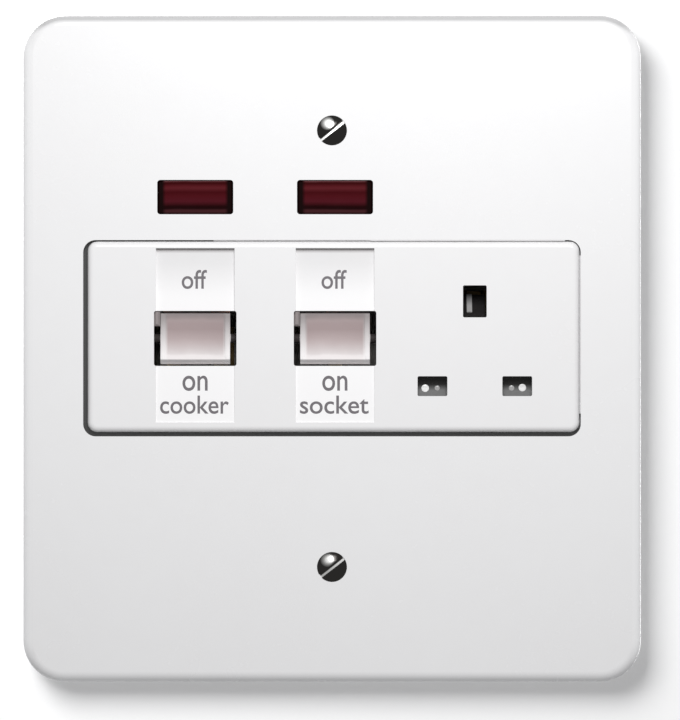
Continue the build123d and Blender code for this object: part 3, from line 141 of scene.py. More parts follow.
class Graph:
    """A node tree of a material or the world, with one method that adds any node."""

    def __init__(self, owner: bpy.types.Material | bpy.types.World) -> None:
        """Empties the owner's node tree."""
        self.owner = owner
        self.owner.use_nodes = True
        self.tree = self.owner.node_tree
        self.tree.nodes.clear()

    @classmethod
    def of_material(cls, name: str) -> "Graph":
        """The graph of a new material of that name."""
        return cls(bpy.data.materials.new(name))

    def node(self, kind: str, settings: dict[str, Any] | None = None,
             inputs: dict[str | int, Any] | None = None, out: str | int = 0) -> Socket:
        """Adds a node, sets it up and links or sets its inputs.

        Args:
            kind: the node's type.
            settings: its properties; "stops" sets a ramp's (place, colour) pairs.
            inputs: values or sockets by input name or number.
            out: the name or number of the output that is returned.

        Returns:
            That output.
        """
        made = self.tree.nodes.new(kind)
        for key, value in (settings or {}).items():
            if key == "stops":
                self._set_stops(made.color_ramp, value)
            else:
                setattr(made, key, value)
        for key, value in (inputs or {}).items():
            if isinstance(value, Socket):
                self.tree.links.new(value.end, made.inputs[key])
            else:
                made.inputs[key].default_value = value
        return Socket(self, made.outputs[out] if made.outputs else None)

    @staticmethod
    def _set_stops(ramp: bpy.types.ColorRamp, stops: Sequence[tuple[float, Colour]]) -> None:
        """Gives a ramp its stops, in order."""
        while len(ramp.elements) < len(stops):
            ramp.elements.new(1.0)
        for element, (place, colour) in zip(ramp.elements, stops):
            element.position = place
            element.color = (*colour, 1.0)

    def place(self) -> Socket:
        """The place on the object, in its own metres."""
        return self.node("ShaderNodeTexCoord", out="Object")

    def axis(self, letter: str) -> Socket:
        """One coordinate of the place on the object."""
        return self.node("ShaderNodeSeparateXYZ", inputs={0: self.place()}, out=letter)

    def stretched(self, scale: Sequence[float]) -> Socket:
        """The place on the object, scaled along each axis."""
        settings = {"operation": "MULTIPLY"}
        return self.node("ShaderNodeVectorMath", settings, {0: self.place(), 1: tuple(scale)})

    def ramp(self, stops: Sequence[tuple[float, Colour]], value: Socket) -> Socket:
        """The colour that a ramp's stops give at a value."""
        return self.node("ShaderNodeValToRGB", {"stops": stops}, {0: value})

    def noise(self, scale: float, detail: float = 3.0, vector: Socket | None = None) -> Socket:
        """Soft noise from 0 to 1.

        Args:
            scale: how many cells a metre holds.
            detail: how many finer layers are added.
            vector: where it is read; the place on the object unless given.

        Returns:
            The noise's value.
        """
        inputs = {"Vector": vector or self.place(), "Scale": scale, "Detail": detail}
        return self.node("ShaderNodeTexNoise", inputs=inputs)

    def specks(self, scale: float, size: float) -> Socket:
        """Round specks, 1 inside and 0 outside.

        Args:
            scale: how many cells a metre holds.
            size: a speck's radius as a share of its cell.

        Returns:
            The specks' mask.
        """
        found = self.node("ShaderNodeTexVoronoi", {"feature": "F1"},
                          {"Vector": self.place(), "Scale": scale}, out="Distance")
        return found.between(size, size * 0.5)

    def mix(self, factor: Socket | float, first: Socket | Colour,
            second: Socket | Colour) -> Socket:
        """Blends two colours.

        Args:
            factor: 0 gives the first, 1 the second.
            first: a colour or socket.
            second: a colour or socket.

        Returns:
            The blended colour.
        """
        made = self.tree.nodes.new("ShaderNodeMix")
        made.data_type = "RGBA"
        for name, value in (("Factor_Float", factor), ("A_Color", first), ("B_Color", second)):
            end = next(i for i in made.inputs if i.identifier == name)
            if isinstance(value, Socket):
                self.tree.links.new(value.end, end)
            else:
                end.default_value = value if isinstance(value, float) else (*value, 1.0)
        return Socket(self, next(o for o in made.outputs if o.identifier == "Result_Color"))

    def bump(self, height: Socket, depth: float) -> Socket:
        """A normal that follows a height.

        Args:
            height: the height, from 0 to 1.
            depth: what 1 stands for, in metres.

        Returns:
            The bent normal.
        """
        return self.node("ShaderNodeBump", inputs={"Height": height, "Distance": depth,
                                                   "Strength": 1.0}, out="Normal")

    def shade(self, **inputs: Any) -> bpy.types.Material:
        """Ends the graph in a Principled shader.

        Args:
            inputs: its inputs, with _ for a space in their names.

        Returns:
            The finished material.
        """
        named = {key.replace("_", " "): value for key, value in inputs.items()}
        shader = self.node("ShaderNodeBsdfPrincipled", inputs={
            key: (*value, 1.0) if isinstance(value, tuple) and len(value) == 3 else value
            for key, value in named.items()
        })
        self.node("ShaderNodeOutputMaterial", inputs={"Surface": shader})
        return self.owner


class Tone(Protocol):
    """Anything that alters a moulding's colour over part of its surface."""

    def tone(self, graph: Graph, colour: Socket) -> Socket:
        """The colour, altered."""


@dataclass(frozen=True)
class GapShade(Tone):
    """Deep shade in the gap round the insert panel, fullest at its left and below."""

    colour: Colour = (0.0571, 0.0569, 0.0572)
    depth: Sequence[float] = (-8.7 * MM, -7.2 * MM)
    reach_x: float = 69.0 * MM
    reach_z: float = 29.5 * MM
    centre_z: float = 3.15 * MM
    fade: float = 0.5 * MM
    left: Sequence[float] = (-45.0 * MM, -10.0 * MM)
    foot: Sequence[float] = (-21.0 * MM, -18.0 * MM)
    least: float = 0.3

    def tone(self, graph: Graph, colour: Socket) -> Socket:
        """The colour, shaded in the gap and in the panel's openings.

        Args:
            graph: the finish's graph.
            colour: the moulding's colour.

        Returns:
            The shaded colour.
        """
        across = graph.axis("X").distance(0.0).between(self.reach_x, self.reach_x - self.fade)
        offset = graph.axis("Z").distance(self.centre_z)
        up = offset.between(self.reach_z, self.reach_z - self.fade)
        left = graph.axis("X").between(*self.left, 1.0, self.least)
        foot = graph.axis("Z").between(*self.foot, 1.0, self.least)
        mask = graph.axis("Y").between(*self.depth) * across * up * left.larger(foot)
        return graph.mix(mask, colour, self.colour)


@dataclass(frozen=True)
class PlateEdge(Tone):
    """The plate's outer edges: painted light that pales the sides, and painted shade that greys the
    crown.
    """

    # Painted light: the side edges made paler than the face.
    sides: Sequence[float] = (78.4 * MM, 80.2 * MM)
    painted_side_light: Colour = (0.93, 0.93, 0.935)
    # Painted shade: the band along the top edge greyed towards black.
    crown_z: Sequence[float] = (82.4 * MM, 84.8 * MM)
    crown_y: Sequence[float] = (-9.45 * MM, -9.0 * MM)
    crown_shade: float = 0.38

    def tone(self, graph: Graph, colour: Socket) -> Socket:
        """The colour, with painted light paling the sides and painted shade greying the crown.

        Args:
            graph: the finish's graph.
            colour: the moulding's colour.

        Returns:
            The altered colour.
        """
        paled = graph.mix(graph.axis("X").distance(0.0).between(*self.sides), colour,
                          self.painted_side_light)
        crown = graph.axis("Z").between(*self.crown_z) * graph.axis("Y").between(*self.crown_y)
        return graph.mix(crown * self.crown_shade, paled, (0.0, 0.0, 0.0))


@dataclass(frozen=True)
class FootPale(Tone):
    """A paler foot, where light falls on a piece through a slot."""

    low: float = -11.0 * MM
    high: float = -9.3 * MM
    level: float = 0.17

    def tone(self, graph: Graph, colour: Socket) -> Socket:
        """The colour, going over to the foot's grey."""
        grey = (self.level, self.level, self.level)
        return graph.mix(graph.axis("Z").between(self.high, self.low), colour, grey)


@dataclass(frozen=True)
class StripBand(Tone):
    """The floors of the two label strips: painted light that pales them lower down, painted shade
    that greys them upwards, and a painted shadow line in the upper corner under the top edge.
    """

    half_width: float = 10.3 * MM
    fade: float = 0.1 * MM
    floor_y: Sequence[float] = (-9.82 * MM, -9.78 * MM)
    foot_z: float = -19.25 * MM
    top_z: float = 26.25 * MM
    # Painted light and shade on the floors: paler lower down, greyer upwards, and a dark shadow
    # line under the top edge.
    # The height where each tone starts, where it is full, its weight and its colour.
    tones: Sequence[tuple[float, float, float, Colour]] = (
        (22.5 * MM, 13.0 * MM, 1.0, (0.915, 0.907, 0.912)),
        (15.0 * MM, 24.5 * MM, 0.11, (0.2, 0.18, 0.18)),
        (25.0 * MM, 26.1 * MM, 0.8, (0.15, 0.13, 0.13)))

    def floor(self, graph: Graph) -> Socket:
        """1 on a strip's sunk floor and 0 on the panel's face."""
        half, fade = self.half_width, self.fade
        left, right = (graph.axis("X").distance(x).between(half, half - fade)
                       for x in SWITCH_X.values())
        height = graph.axis("Z")
        foot = height.between(self.foot_z, self.foot_z + fade)
        top = height.between(self.top_z + fade, self.top_z)
        return left.larger(right) * (foot * top) * graph.axis("Y").between(*self.floor_y)

    def tone(self, graph: Graph, colour: Socket) -> Socket:
        """The colour, with each of the strips' tones laid over the one before."""
        for start, full, weight, tint in self.tones:
            amount = self.floor(graph) * graph.axis("Z").between(start, full) * weight
            colour = graph.mix(amount, colour, tint)
        return colour


@dataclass(frozen=True)
class Moulding:
    """A moulded plastic with cloudy colour, a fine skin texture and faint handling marks."""

    name: str
    colour: Colour
    tint: Colour
    roughness: float
    skin: float = 6e-6
    skin_scale: float = 700.0
    specks: float = 0.0
    gloss: float = 0.5
    tones: Sequence[Tone] = ()
    cloud_scale: float = 22.0
    flow_scale: float = 190.0
    cloud_share: float = 0.6
    mark_scale: float = 430.0
    patch_scale: float = 60.0
    speck_scale: float = 820.0
    speck_size: float = 0.09
    speck_dark: float = 0.45

    def build(self) -> bpy.types.Material:
        """Makes the finish's material."""
        graph = Graph.of_material(self.name)
        clouds = graph.noise(self.cloud_scale, 4.0).between(0.3, 0.72)
        flow = graph.noise(self.flow_scale, 3.0).between(0.35, 0.7)
        tinted = clouds * self.cloud_share + flow * (1.0 - self.cloud_share)
        colour = graph.mix(tinted, self.colour, self.tint)
        if self.specks:
            patches = graph.noise(self.patch_scale, 2.0).between(0.45, 0.6)
            dust = graph.specks(self.speck_scale, self.speck_size) * patches
            dark = tuple(self.speck_dark * c for c in self.colour)
            colour = graph.mix(dust * self.specks, colour, dark)
        for tone in self.tones:
            colour = tone.tone(graph, colour)
        marks = graph.noise(self.mark_scale, 4.0).between(0.55, 0.75)
        rough = self.roughness + 0.05 * clouds + 0.02 * marks
        normal = graph.bump(graph.noise(self.skin_scale, 2.0), self.skin)
        return graph.shade(Base_Color=colour, Roughness=rough, Normal=normal,
                           Specular_IOR_Level=self.gloss)


@dataclass(frozen=True)
class DishedMoulding:
    """A rocker's moulding whose colour is painted shade: darker and warmer in its dish and towards
    its upper end, where the opening's top edge shades it, and black on its flanks.
    """

    name: str
    centre_x: float
    foot_z: float = -4.2 * MM
    top_z: float = 9.8 * MM
    dish: float = 7.5 * MM
    blend: float = 0.35 * MM
    # Painted shade by height, from the foot (0) to the top (1): darker and warmer upwards, more so
    # in the dish than on the rims.
    dish_stops: Sequence[tuple[float, Colour]] = (
        (0.0, (0.824, 0.792, 0.792)), (0.17, (0.780, 0.739, 0.739)), (0.21, (0.662, 0.617, 0.617)),
        (0.3, (0.562, 0.504, 0.504)), (0.4, (0.482, 0.411, 0.411)), (0.49, (0.425, 0.348, 0.348)),
        (0.66, (0.363, 0.290, 0.290)), (0.77, (0.380, 0.304, 0.304)), (0.83, (0.402, 0.329, 0.329)),
        (0.94, (0.275, 0.241, 0.241)), (1.0, (0.286, 0.251, 0.251)))
    rim_stops: Sequence[tuple[float, Colour]] = (
        (0.0, (0.836, 0.812, 0.812)), (0.2, (0.816, 0.792, 0.792)), (0.45, (0.639, 0.611, 0.611)),
        (0.75, (0.441, 0.412, 0.412)), (0.9, (0.318, 0.292, 0.292)), (1.0, (0.276, 0.254, 0.254)))
    # Painted black shade beyond the rocker's sides, where the trunnions sit in shadow.
    flank: Sequence[float] = (9.2 * MM, 9.3 * MM)
    flank_colour: Colour = (0.035, 0.03, 0.03)
    shade_jitter: float = 0.01
    skin: float = 5e-6

    def build(self) -> bpy.types.Material:
        """Makes the finish's material."""
        graph = Graph.of_material(self.name)
        rise = graph.axis("Z").between(self.foot_z, self.top_z)
        # Noise makes the painted shade's bands a little ragged.
        place = rise + graph.noise(240.0, 3.0).between(0.35, 0.65, -self.shade_jitter, self.shade_jitter)
        dish = graph.ramp(self.dish_stops, place)
        rim = graph.ramp(self.rim_stops, place)
        away = graph.axis("X").distance(self.centre_x)
        colour = graph.mix(away.between(self.dish - self.blend, self.dish + self.blend), dish, rim)
        colour = graph.mix(away.between(*self.flank), colour, self.flank_colour)
        rough = 0.42 + 0.08 * graph.noise(380.0, 3.0).between(0.4, 0.7)
        return graph.shade(Base_Color=colour, Roughness=rough, Specular_IOR_Level=0.1,
                           Normal=graph.bump(graph.noise(700.0, 2.0), self.skin))


class Working(Enum):
    """How a metal piece was made, which sets the run of its surface marks."""

    TURNED = (260.0, 9000.0, 260.0)
    STAMPED = (5200.0, 1500.0, 900.0)
    DRAWN = (6500.0, 6500.0, 700.0)
    POLISHED = (700.0, 700.0, 700.0)


@dataclass(frozen=True)
class Metal:
    """A bare or plated metal with the marks of its making and some tarnish."""

    name: str
    colour: Colour
    tarnish: Colour
    roughness: float
    working: Working = Working.STAMPED
    dulled: float = 0.5
    mark_depth: float = 4e-6

    def build(self) -> bpy.types.Material:
        """Makes the finish's material."""
        graph = Graph.of_material(self.name)
        marks = graph.noise(1.0, 3.0, graph.stretched(self.working.value))
        patches = graph.noise(160.0, 4.0).between(0.42, 0.68)
        colour = graph.mix(patches * self.dulled, self.colour, self.tarnish)
        rough = self.roughness + 0.14 * patches + 0.1 * marks
        return graph.shade(Base_Color=colour, Roughness=rough, Metallic=1.0,
                           Normal=graph.bump(marks, self.mark_depth))


@dataclass(frozen=True)
class Lens:
    """A dark red lens, ribbed behind its face; its colour is painted light and shade in bands by
    height, with a painted highlight along its top, and painted black shade where it turns into its
    skirt.
    """

    name: str
    centre_x: float
    clear: float = 7.7 * MM
    dark: float = 8.6 * MM
    foot_z: float = 36.0 * MM
    top_z: float = 44.4 * MM
    # Painted black shade at the lens's ends.
    ends: Colour = (0.006, 0.0012, 0.0012)
    ripple: float = 0.015
    skin: float = 3e-6
    # Painted light and shade by height, from foot to top: dark and red bands, with a painted
    # highlight at the top edge.
    painted_light_bands: Sequence[tuple[float, Colour]] = (
        (0.03, (0.045, 0.012, 0.014)), (0.09, (0.009, 0.0005, 0.001)),
        (0.16, (0.012, 0.0005, 0.001)), (0.22, (0.036, 0.003, 0.005)),
        (0.31, (0.066, 0.006, 0.011)), (0.47, (0.062, 0.004, 0.007)),
        (0.59, (0.047, 0.002, 0.004)), (0.72, (0.092, 0.011, 0.015)),
        (0.78, (0.076, 0.007, 0.010)), (0.86, (0.036, 0.001, 0.002)),
        (0.90, (0.04, 0.003, 0.004)), (0.94, (0.15, 0.06, 0.065)))

    def build(self) -> bpy.types.Material:
        """Makes the finish's material."""
        graph = Graph.of_material(self.name)
        clouds = graph.noise(260.0, 3.0).between(0.3, 0.7)
        rise = graph.axis("Z").between(self.foot_z, self.top_z)
        ripple = graph.noise(90.0, 2.0).between(0.3, 0.7, -self.ripple, self.ripple)
        colour = graph.ramp(self.painted_light_bands, rise + ripple)
        away = graph.axis("X").distance(self.centre_x)
        colour = graph.mix(away.between(self.clear, self.dark), colour, self.ends)
        return graph.shade(Base_Color=colour, Roughness=0.16 + 0.06 * clouds,
                           Specular_IOR_Level=0.03,
                           Normal=graph.bump(graph.noise(500.0, 2.0), self.skin))


@dataclass(frozen=True)
class Ink:
    """Grey printed lettering, slightly uneven where the print is thin."""

    name: str
    colour: Colour

    def build(self) -> bpy.types.Material:
        """Makes the finish's material."""
        graph = Graph.of_material(self.name)
        thin = graph.noise(2600.0, 3.0).between(0.45, 0.75)
        colour = graph.mix(thin * 0.35, self.colour, tuple(1.6 * c for c in self.colour))
        return graph.shade(Base_Color=colour, Roughness=0.5 + 0.1 * thin)


@dataclass(frozen=True)
class SlottedPlate:
    """Polished plating, its colour near black so that it mirrors dark, with painted highlights on
    one dome patch and along the slot.
    """

    name: str
    colour: Colour = (0.022, 0.021, 0.02)
    # The painted highlights' colour.
    bright: Colour = (0.62, 0.62, 0.61)
    floor_y: Sequence[float] = (-9.42 * MM, -9.36 * MM)
    pitch: float = 57.15 * MM
    slot_angle: float = 38.0
    patch: Sequence[float] = (-1.2 * MM, 1.9 * MM)
    patch_reach: Sequence[float] = (1.9 * MM, 0.5 * MM)
    fade: float = 0.1 * MM
    lip: float = 0.02 * MM
    lower_shine: float = 0.55
    mark_depth: float = 2e-6

    def build(self) -> bpy.types.Material:
        """Makes the finish's material."""
        graph = Graph.of_material(self.name)
        marks = graph.noise(1.0, 3.0, graph.stretched(Working.TURNED.value))
        across = graph.axis("X")
        height = graph.axis("Z")
        up = height - ((height > 0.0) * (2.0 * self.pitch) - self.pitch)
        turn = math.radians(self.slot_angle)
        beside = across * math.sin(turn) - up * math.cos(turn)
        # Painted highlights: one side of the slot's floor and a patch on the dome, fainter on the
        # lower screw; the roughness rises there too.
        lit = graph.axis("Y").between(*self.floor_y) * beside.between(-self.fade, self.fade)
        spread = across.distance(self.patch[0]) ** 2.0 + up.distance(self.patch[1]) ** 2.0
        above = graph.axis("Y").between(self.floor_y[0], self.floor_y[0] - self.lip)
        painted_glint = lit.larger((spread ** 0.5).between(*self.patch_reach) * above)
        shine = (height > 0.0) * (1.0 - self.lower_shine) + self.lower_shine
        colour = graph.mix(painted_glint * shine, self.colour, self.bright)
        return graph.shade(Base_Color=colour, Roughness=0.13 + 0.08 * marks + 0.25 * painted_glint,
                           Metallic=1.0, Normal=graph.bump(marks, self.mark_depth))


@dataclass(frozen=True)
class LampGlass:
    """Thin clear glass, a little smoked where the electrodes have spattered it."""

    name: str
    colour: Colour = (0.86, 0.80, 0.74)

    def build(self) -> bpy.types.Material:
        """Makes the finish's material."""
        graph = Graph.of_material(self.name)
        smoke = graph.noise(420.0, 3.0).between(0.5, 0.8)
        colour = graph.mix(smoke * 0.5, self.colour, tuple(0.45 * c for c in self.colour))
        return graph.shade(Base_Color=colour, Roughness=0.04 + 0.05 * smoke,
                           Transmission_Weight=0.85, IOR=1.45)


Finish = Moulding | DishedMoulding | Metal | Lens | Ink | SlottedPlate | LampGlass

FINISHES: dict[str, Finish] = {
    "plate": Moulding("plate_urea", (0.815, 0.813, 0.818), (0.80, 0.795, 0.80), 0.24,
                      tones=(GapShade(), PlateEdge())),
    "insert": Moulding("insert_urea", (0.815, 0.811, 0.817), (0.80, 0.793, 0.797), 0.22,
                       tones=(GapShade(), StripBand())),
    # Painted light: pale bars in the gap round the panel.
    "bead": Moulding("lit_gap_fill_urea", (0.72, 0.715, 0.72), (0.69, 0.68, 0.69), 0.4, gloss=0.2),
    # Painted light: grey ribs on the openings' left walls, where light falls beside the rockers.
    "lit_wall": Moulding("guide_rib_urea", (0.28, 0.25, 0.25), (0.25, 0.22, 0.22), 0.4, gloss=0.2),
    "base": Moulding("base_thermoset", (0.60, 0.59, 0.565), (0.53, 0.52, 0.49), 0.52,
                     skin=1.6e-5, skin_scale=1100.0, specks=0.5, gloss=0.35),
    "shutter": Moulding("shutter_moulding", (0.022, 0.02, 0.02), (0.014, 0.013, 0.013), 0.24,
                        gloss=0.12, tones=(FootPale(),)),
    "acetal": Moulding("plunger_acetal", (0.74, 0.72, 0.64), (0.68, 0.66, 0.58), 0.35),
    "fibre": Moulding("washer_fibre", (0.36, 0.09, 0.05), (0.24, 0.05, 0.03), 0.75,
                      skin=2.5e-5, skin_scale=3000.0, gloss=0.25),
    "resistor": Moulding("resistor_lacquer", (0.52, 0.35, 0.18), (0.44, 0.28, 0.14), 0.3),
    "plated": Metal("plated_screw", (0.24, 0.235, 0.23), (0.12, 0.115, 0.11), 0.16,
                    Working.TURNED, 0.35),
    "screw": SlottedPlate("fixing_screw_plate"),
    # Painted glints: pale domes on the dark shutter, bright and faint.
    "pip": Moulding("shutter_pip", (0.86, 0.86, 0.86), (0.80, 0.79, 0.79), 0.15),
    "faint_pip": Moulding("faint_shutter_pip", (0.38, 0.38, 0.38), (0.32, 0.31, 0.31), 0.15),
    # Painted highlight: a pale rib on the shutter's ramp.
    "ramp_highlight_rib": Moulding("shutter_ramp_highlight_rib", (0.38, 0.38, 0.38), (0.30, 0.29, 0.29), 0.2),
    # Brass darkened beyond its tarnish, as painted shade where the contacts and strips show through
    # the slots and gaps.
    "shade_darkened_brass": Metal("shade_darkened_brass", (0.20, 0.14, 0.065), (0.10, 0.07, 0.035), 0.4),
    "spring": Metal("spring_wire", (0.36, 0.36, 0.37), (0.22, 0.21, 0.2), 0.3, Working.DRAWN),
    "brass": Metal("bare_brass", (0.78, 0.57, 0.27), (0.50, 0.34, 0.15), 0.27),
    "copper": Metal("bare_copper", (0.80, 0.42, 0.27), (0.44, 0.20, 0.12), 0.28),
    "silver": Metal("contact_silver", (0.84, 0.83, 0.80), (0.52, 0.50, 0.46), 0.3,
                    Working.POLISHED),
    "ink": Ink("label_ink", (0.115, 0.105, 0.115)),
    "lamp": LampGlass("lamp_glass"),
}


class Dresser:
    """Gives finishes to CAD nodes and new pieces, building each finish once."""

    weld_reach = 1e-6
    sharp_angle = math.radians(40.0)

    def __init__(self) -> None:
        """Starts with nothing built."""
        self.built: dict[str, bpy.types.Material] = {}

    def material(self, finish: str | Finish) -> bpy.types.Material:
        """The material of a finish, by its key or as the finish itself."""
        chosen = FINISHES[finish] if isinstance(finish, str) else finish
        if chosen.name not in self.built:
            self.built[chosen.name] = chosen.build()
        return self.built[chosen.name]

    def dress(self, finish: str | Finish, edge: float, *nodes: str) -> None:
        """Puts a finish on CAD nodes.

        Args:
            finish: a key of FINISHES, or a finish.
            edge: the radius of their softened edges, in metres, or 0 for none.
            nodes: the nodes' names.
        """
        material = self.material(finish)
        for node in nodes:
            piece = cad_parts[node]
            if not piece.material_slots:
                piece.data.materials.append(material)
            for slot in piece.material_slots:
                slot.material = material
            if edge:
                self.soften(piece, edge)
            LOG.info("dressed %s", node)

    def place(self, piece: bpy.types.Object, finish: str | Finish, body: str, slot: str) -> None:
        """Dresses a new piece and hangs it on a body.

        Args:
            piece: the new piece.
            finish: a key of FINISHES, or a finish.
            body: the CAD body that carries it.
            slot: a material slot's name; not used.
        """
        piece.data.materials.clear()
        piece.data.materials.append(self.material(finish))
        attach(piece, body)
        LOG.info("placed %s on %s", piece.name, body)

    def soften(self, piece: bpy.types.Object, radius: float) -> None:
        """Rounds a node's sharp edges with modifiers, its mesh left alone."""
        weld = piece.modifiers.new("weld", "WELD")
        weld.merge_threshold = self.weld_reach
        bevel = piece.modifiers.new("edge", "BEVEL")
        bevel.width = radius
        bevel.segments = 2
        bevel.limit_method = "ANGLE"
        bevel.angle_limit = self.sharp_angle
        bevel.harden_normals = False


def mesh_piece(name: str, points: Iterable[Sequence[float]],
               faces: Iterable[Sequence[int]]) -> bpy.types.Object:
    """Makes an object from points and faces, smooth but for its sharp edges.

    Args:
        name: the piece's name.
        points: its corners, in metres.
        faces: its faces as indices.

    Returns:
        The new object.
    """
    mesh = bpy.data.meshes.new(name)
    mesh.from_pydata([tuple(p) for p in points], [], [tuple(f) for f in faces])
    return finish_mesh(name, mesh)


def finish_mesh(name: str, mesh: bpy.types.Mesh, sharp: float = 40.0) -> bpy.types.Object:
    """Cleans a mesh, shades it smooth between its sharp edges and links its object.

    Args:
        name: the object's name.
        mesh: its mesh.
        sharp: edges that turn more than this stay sharp, in degrees.

    Returns:
        The new object.
    """
    shape = bmesh.new()
    shape.from_mesh(mesh)
    bmesh.ops.remove_doubles(shape, verts=shape.verts, dist=1e-8)
    bmesh.ops.recalc_face_normals(shape, faces=shape.faces)
    shape.to_mesh(mesh)
    shape.free()
    mesh.shade_smooth()
    mesh.set_sharp_from_angle(angle=math.radians(sharp))
    piece = bpy.data.objects.new(name, mesh)
    bpy.context.collection.objects.link(piece)
    return piece


def applied(piece: bpy.types.Object) -> bpy.types.Mesh:
    """A piece's mesh with its modifiers made real."""
    bpy.context.view_layer.update()
    depsgraph = bpy.context.evaluated_depsgraph_get()
    return bpy.data.meshes.new_from_object(piece.evaluated_get(depsgraph), depsgraph=depsgraph)


def discard(*pieces: bpy.types.Object) -> None:
    """Removes helper objects."""
    for piece in pieces:
        bpy.data.objects.remove(piece, do_unlink=True)


def turned(profile: Sequence[tuple[float, float]], segments: int) -> tuple[list, list]:
    """Turns a profile about the Y axis.

    Args:
        profile: (radius, y) pairs from one end of the piece to the other, both at radius 0.
        segments: how many steps make a full turn.

    Returns:
        The points and faces.
    """
    turns = [math.tau * step / segments for step in range(segments)]
    points = [(radius * math.cos(turn), y, radius * math.sin(turn))
              for radius, y in profile for turn in turns]
    return points, tube_faces(len(profile) - 1, segments)


def tube_faces(rows: int, around: int) -> list[tuple[int, ...]]:
    """The faces between rings of points that follow each other.

    Args:
        rows: how many rows of faces there are, one less than the rings.
        around: how many points each ring has.

    Returns:
        The faces, row by row.
    """
    return [(row + step, row + (step + 1) % around,
             row + around + (step + 1) % around, row + around + step)
            for row in range(0, rows * around, around) for step in range(around)]


def boxed(name: str, rings: Sequence[Sequence[Point]]) -> bpy.types.Object:
    """Makes a closed piece over rings of four points each.

    Args:
        name: the piece's name.
        rings: its rings, from one end to the other.

    Returns:
        The piece.
    """
    last = 4 * (len(rings) - 1)
    faces = [(0, 1, 2, 3), (last + 3, last + 2, last + 1, last)]
    points = [point for ring in rings for point in ring]
    return mesh_piece(name, points, faces + tube_faces(len(rings) - 1, 4))


def bar(name: str, xs: Sequence[float], ys: Sequence[float],
        zs: Sequence[float]) -> bpy.types.Object:
    """Makes a bar between two values on each axis, its front edges rounded.

    Args:
        name: the piece's name.
        xs: its left and right.
        ys: its front and back.
        zs: its foot and top.

    Returns:
        The bar.
    """
    rounding = 0.3 * min(xs[1] - xs[0], zs[1] - zs[0])
    rings = []
    for y, inset in ((ys[0], rounding), (ys[0] + rounding, 0.0), (ys[1], 0.0)):
        left, right = xs[0] + inset, xs[1] - inset
        low, high = zs[0] + inset, zs[1] - inset
        rings.append([(left, y, low), (right, y, low), (right, y, high), (left, y, high)])
    return boxed(name, rings)


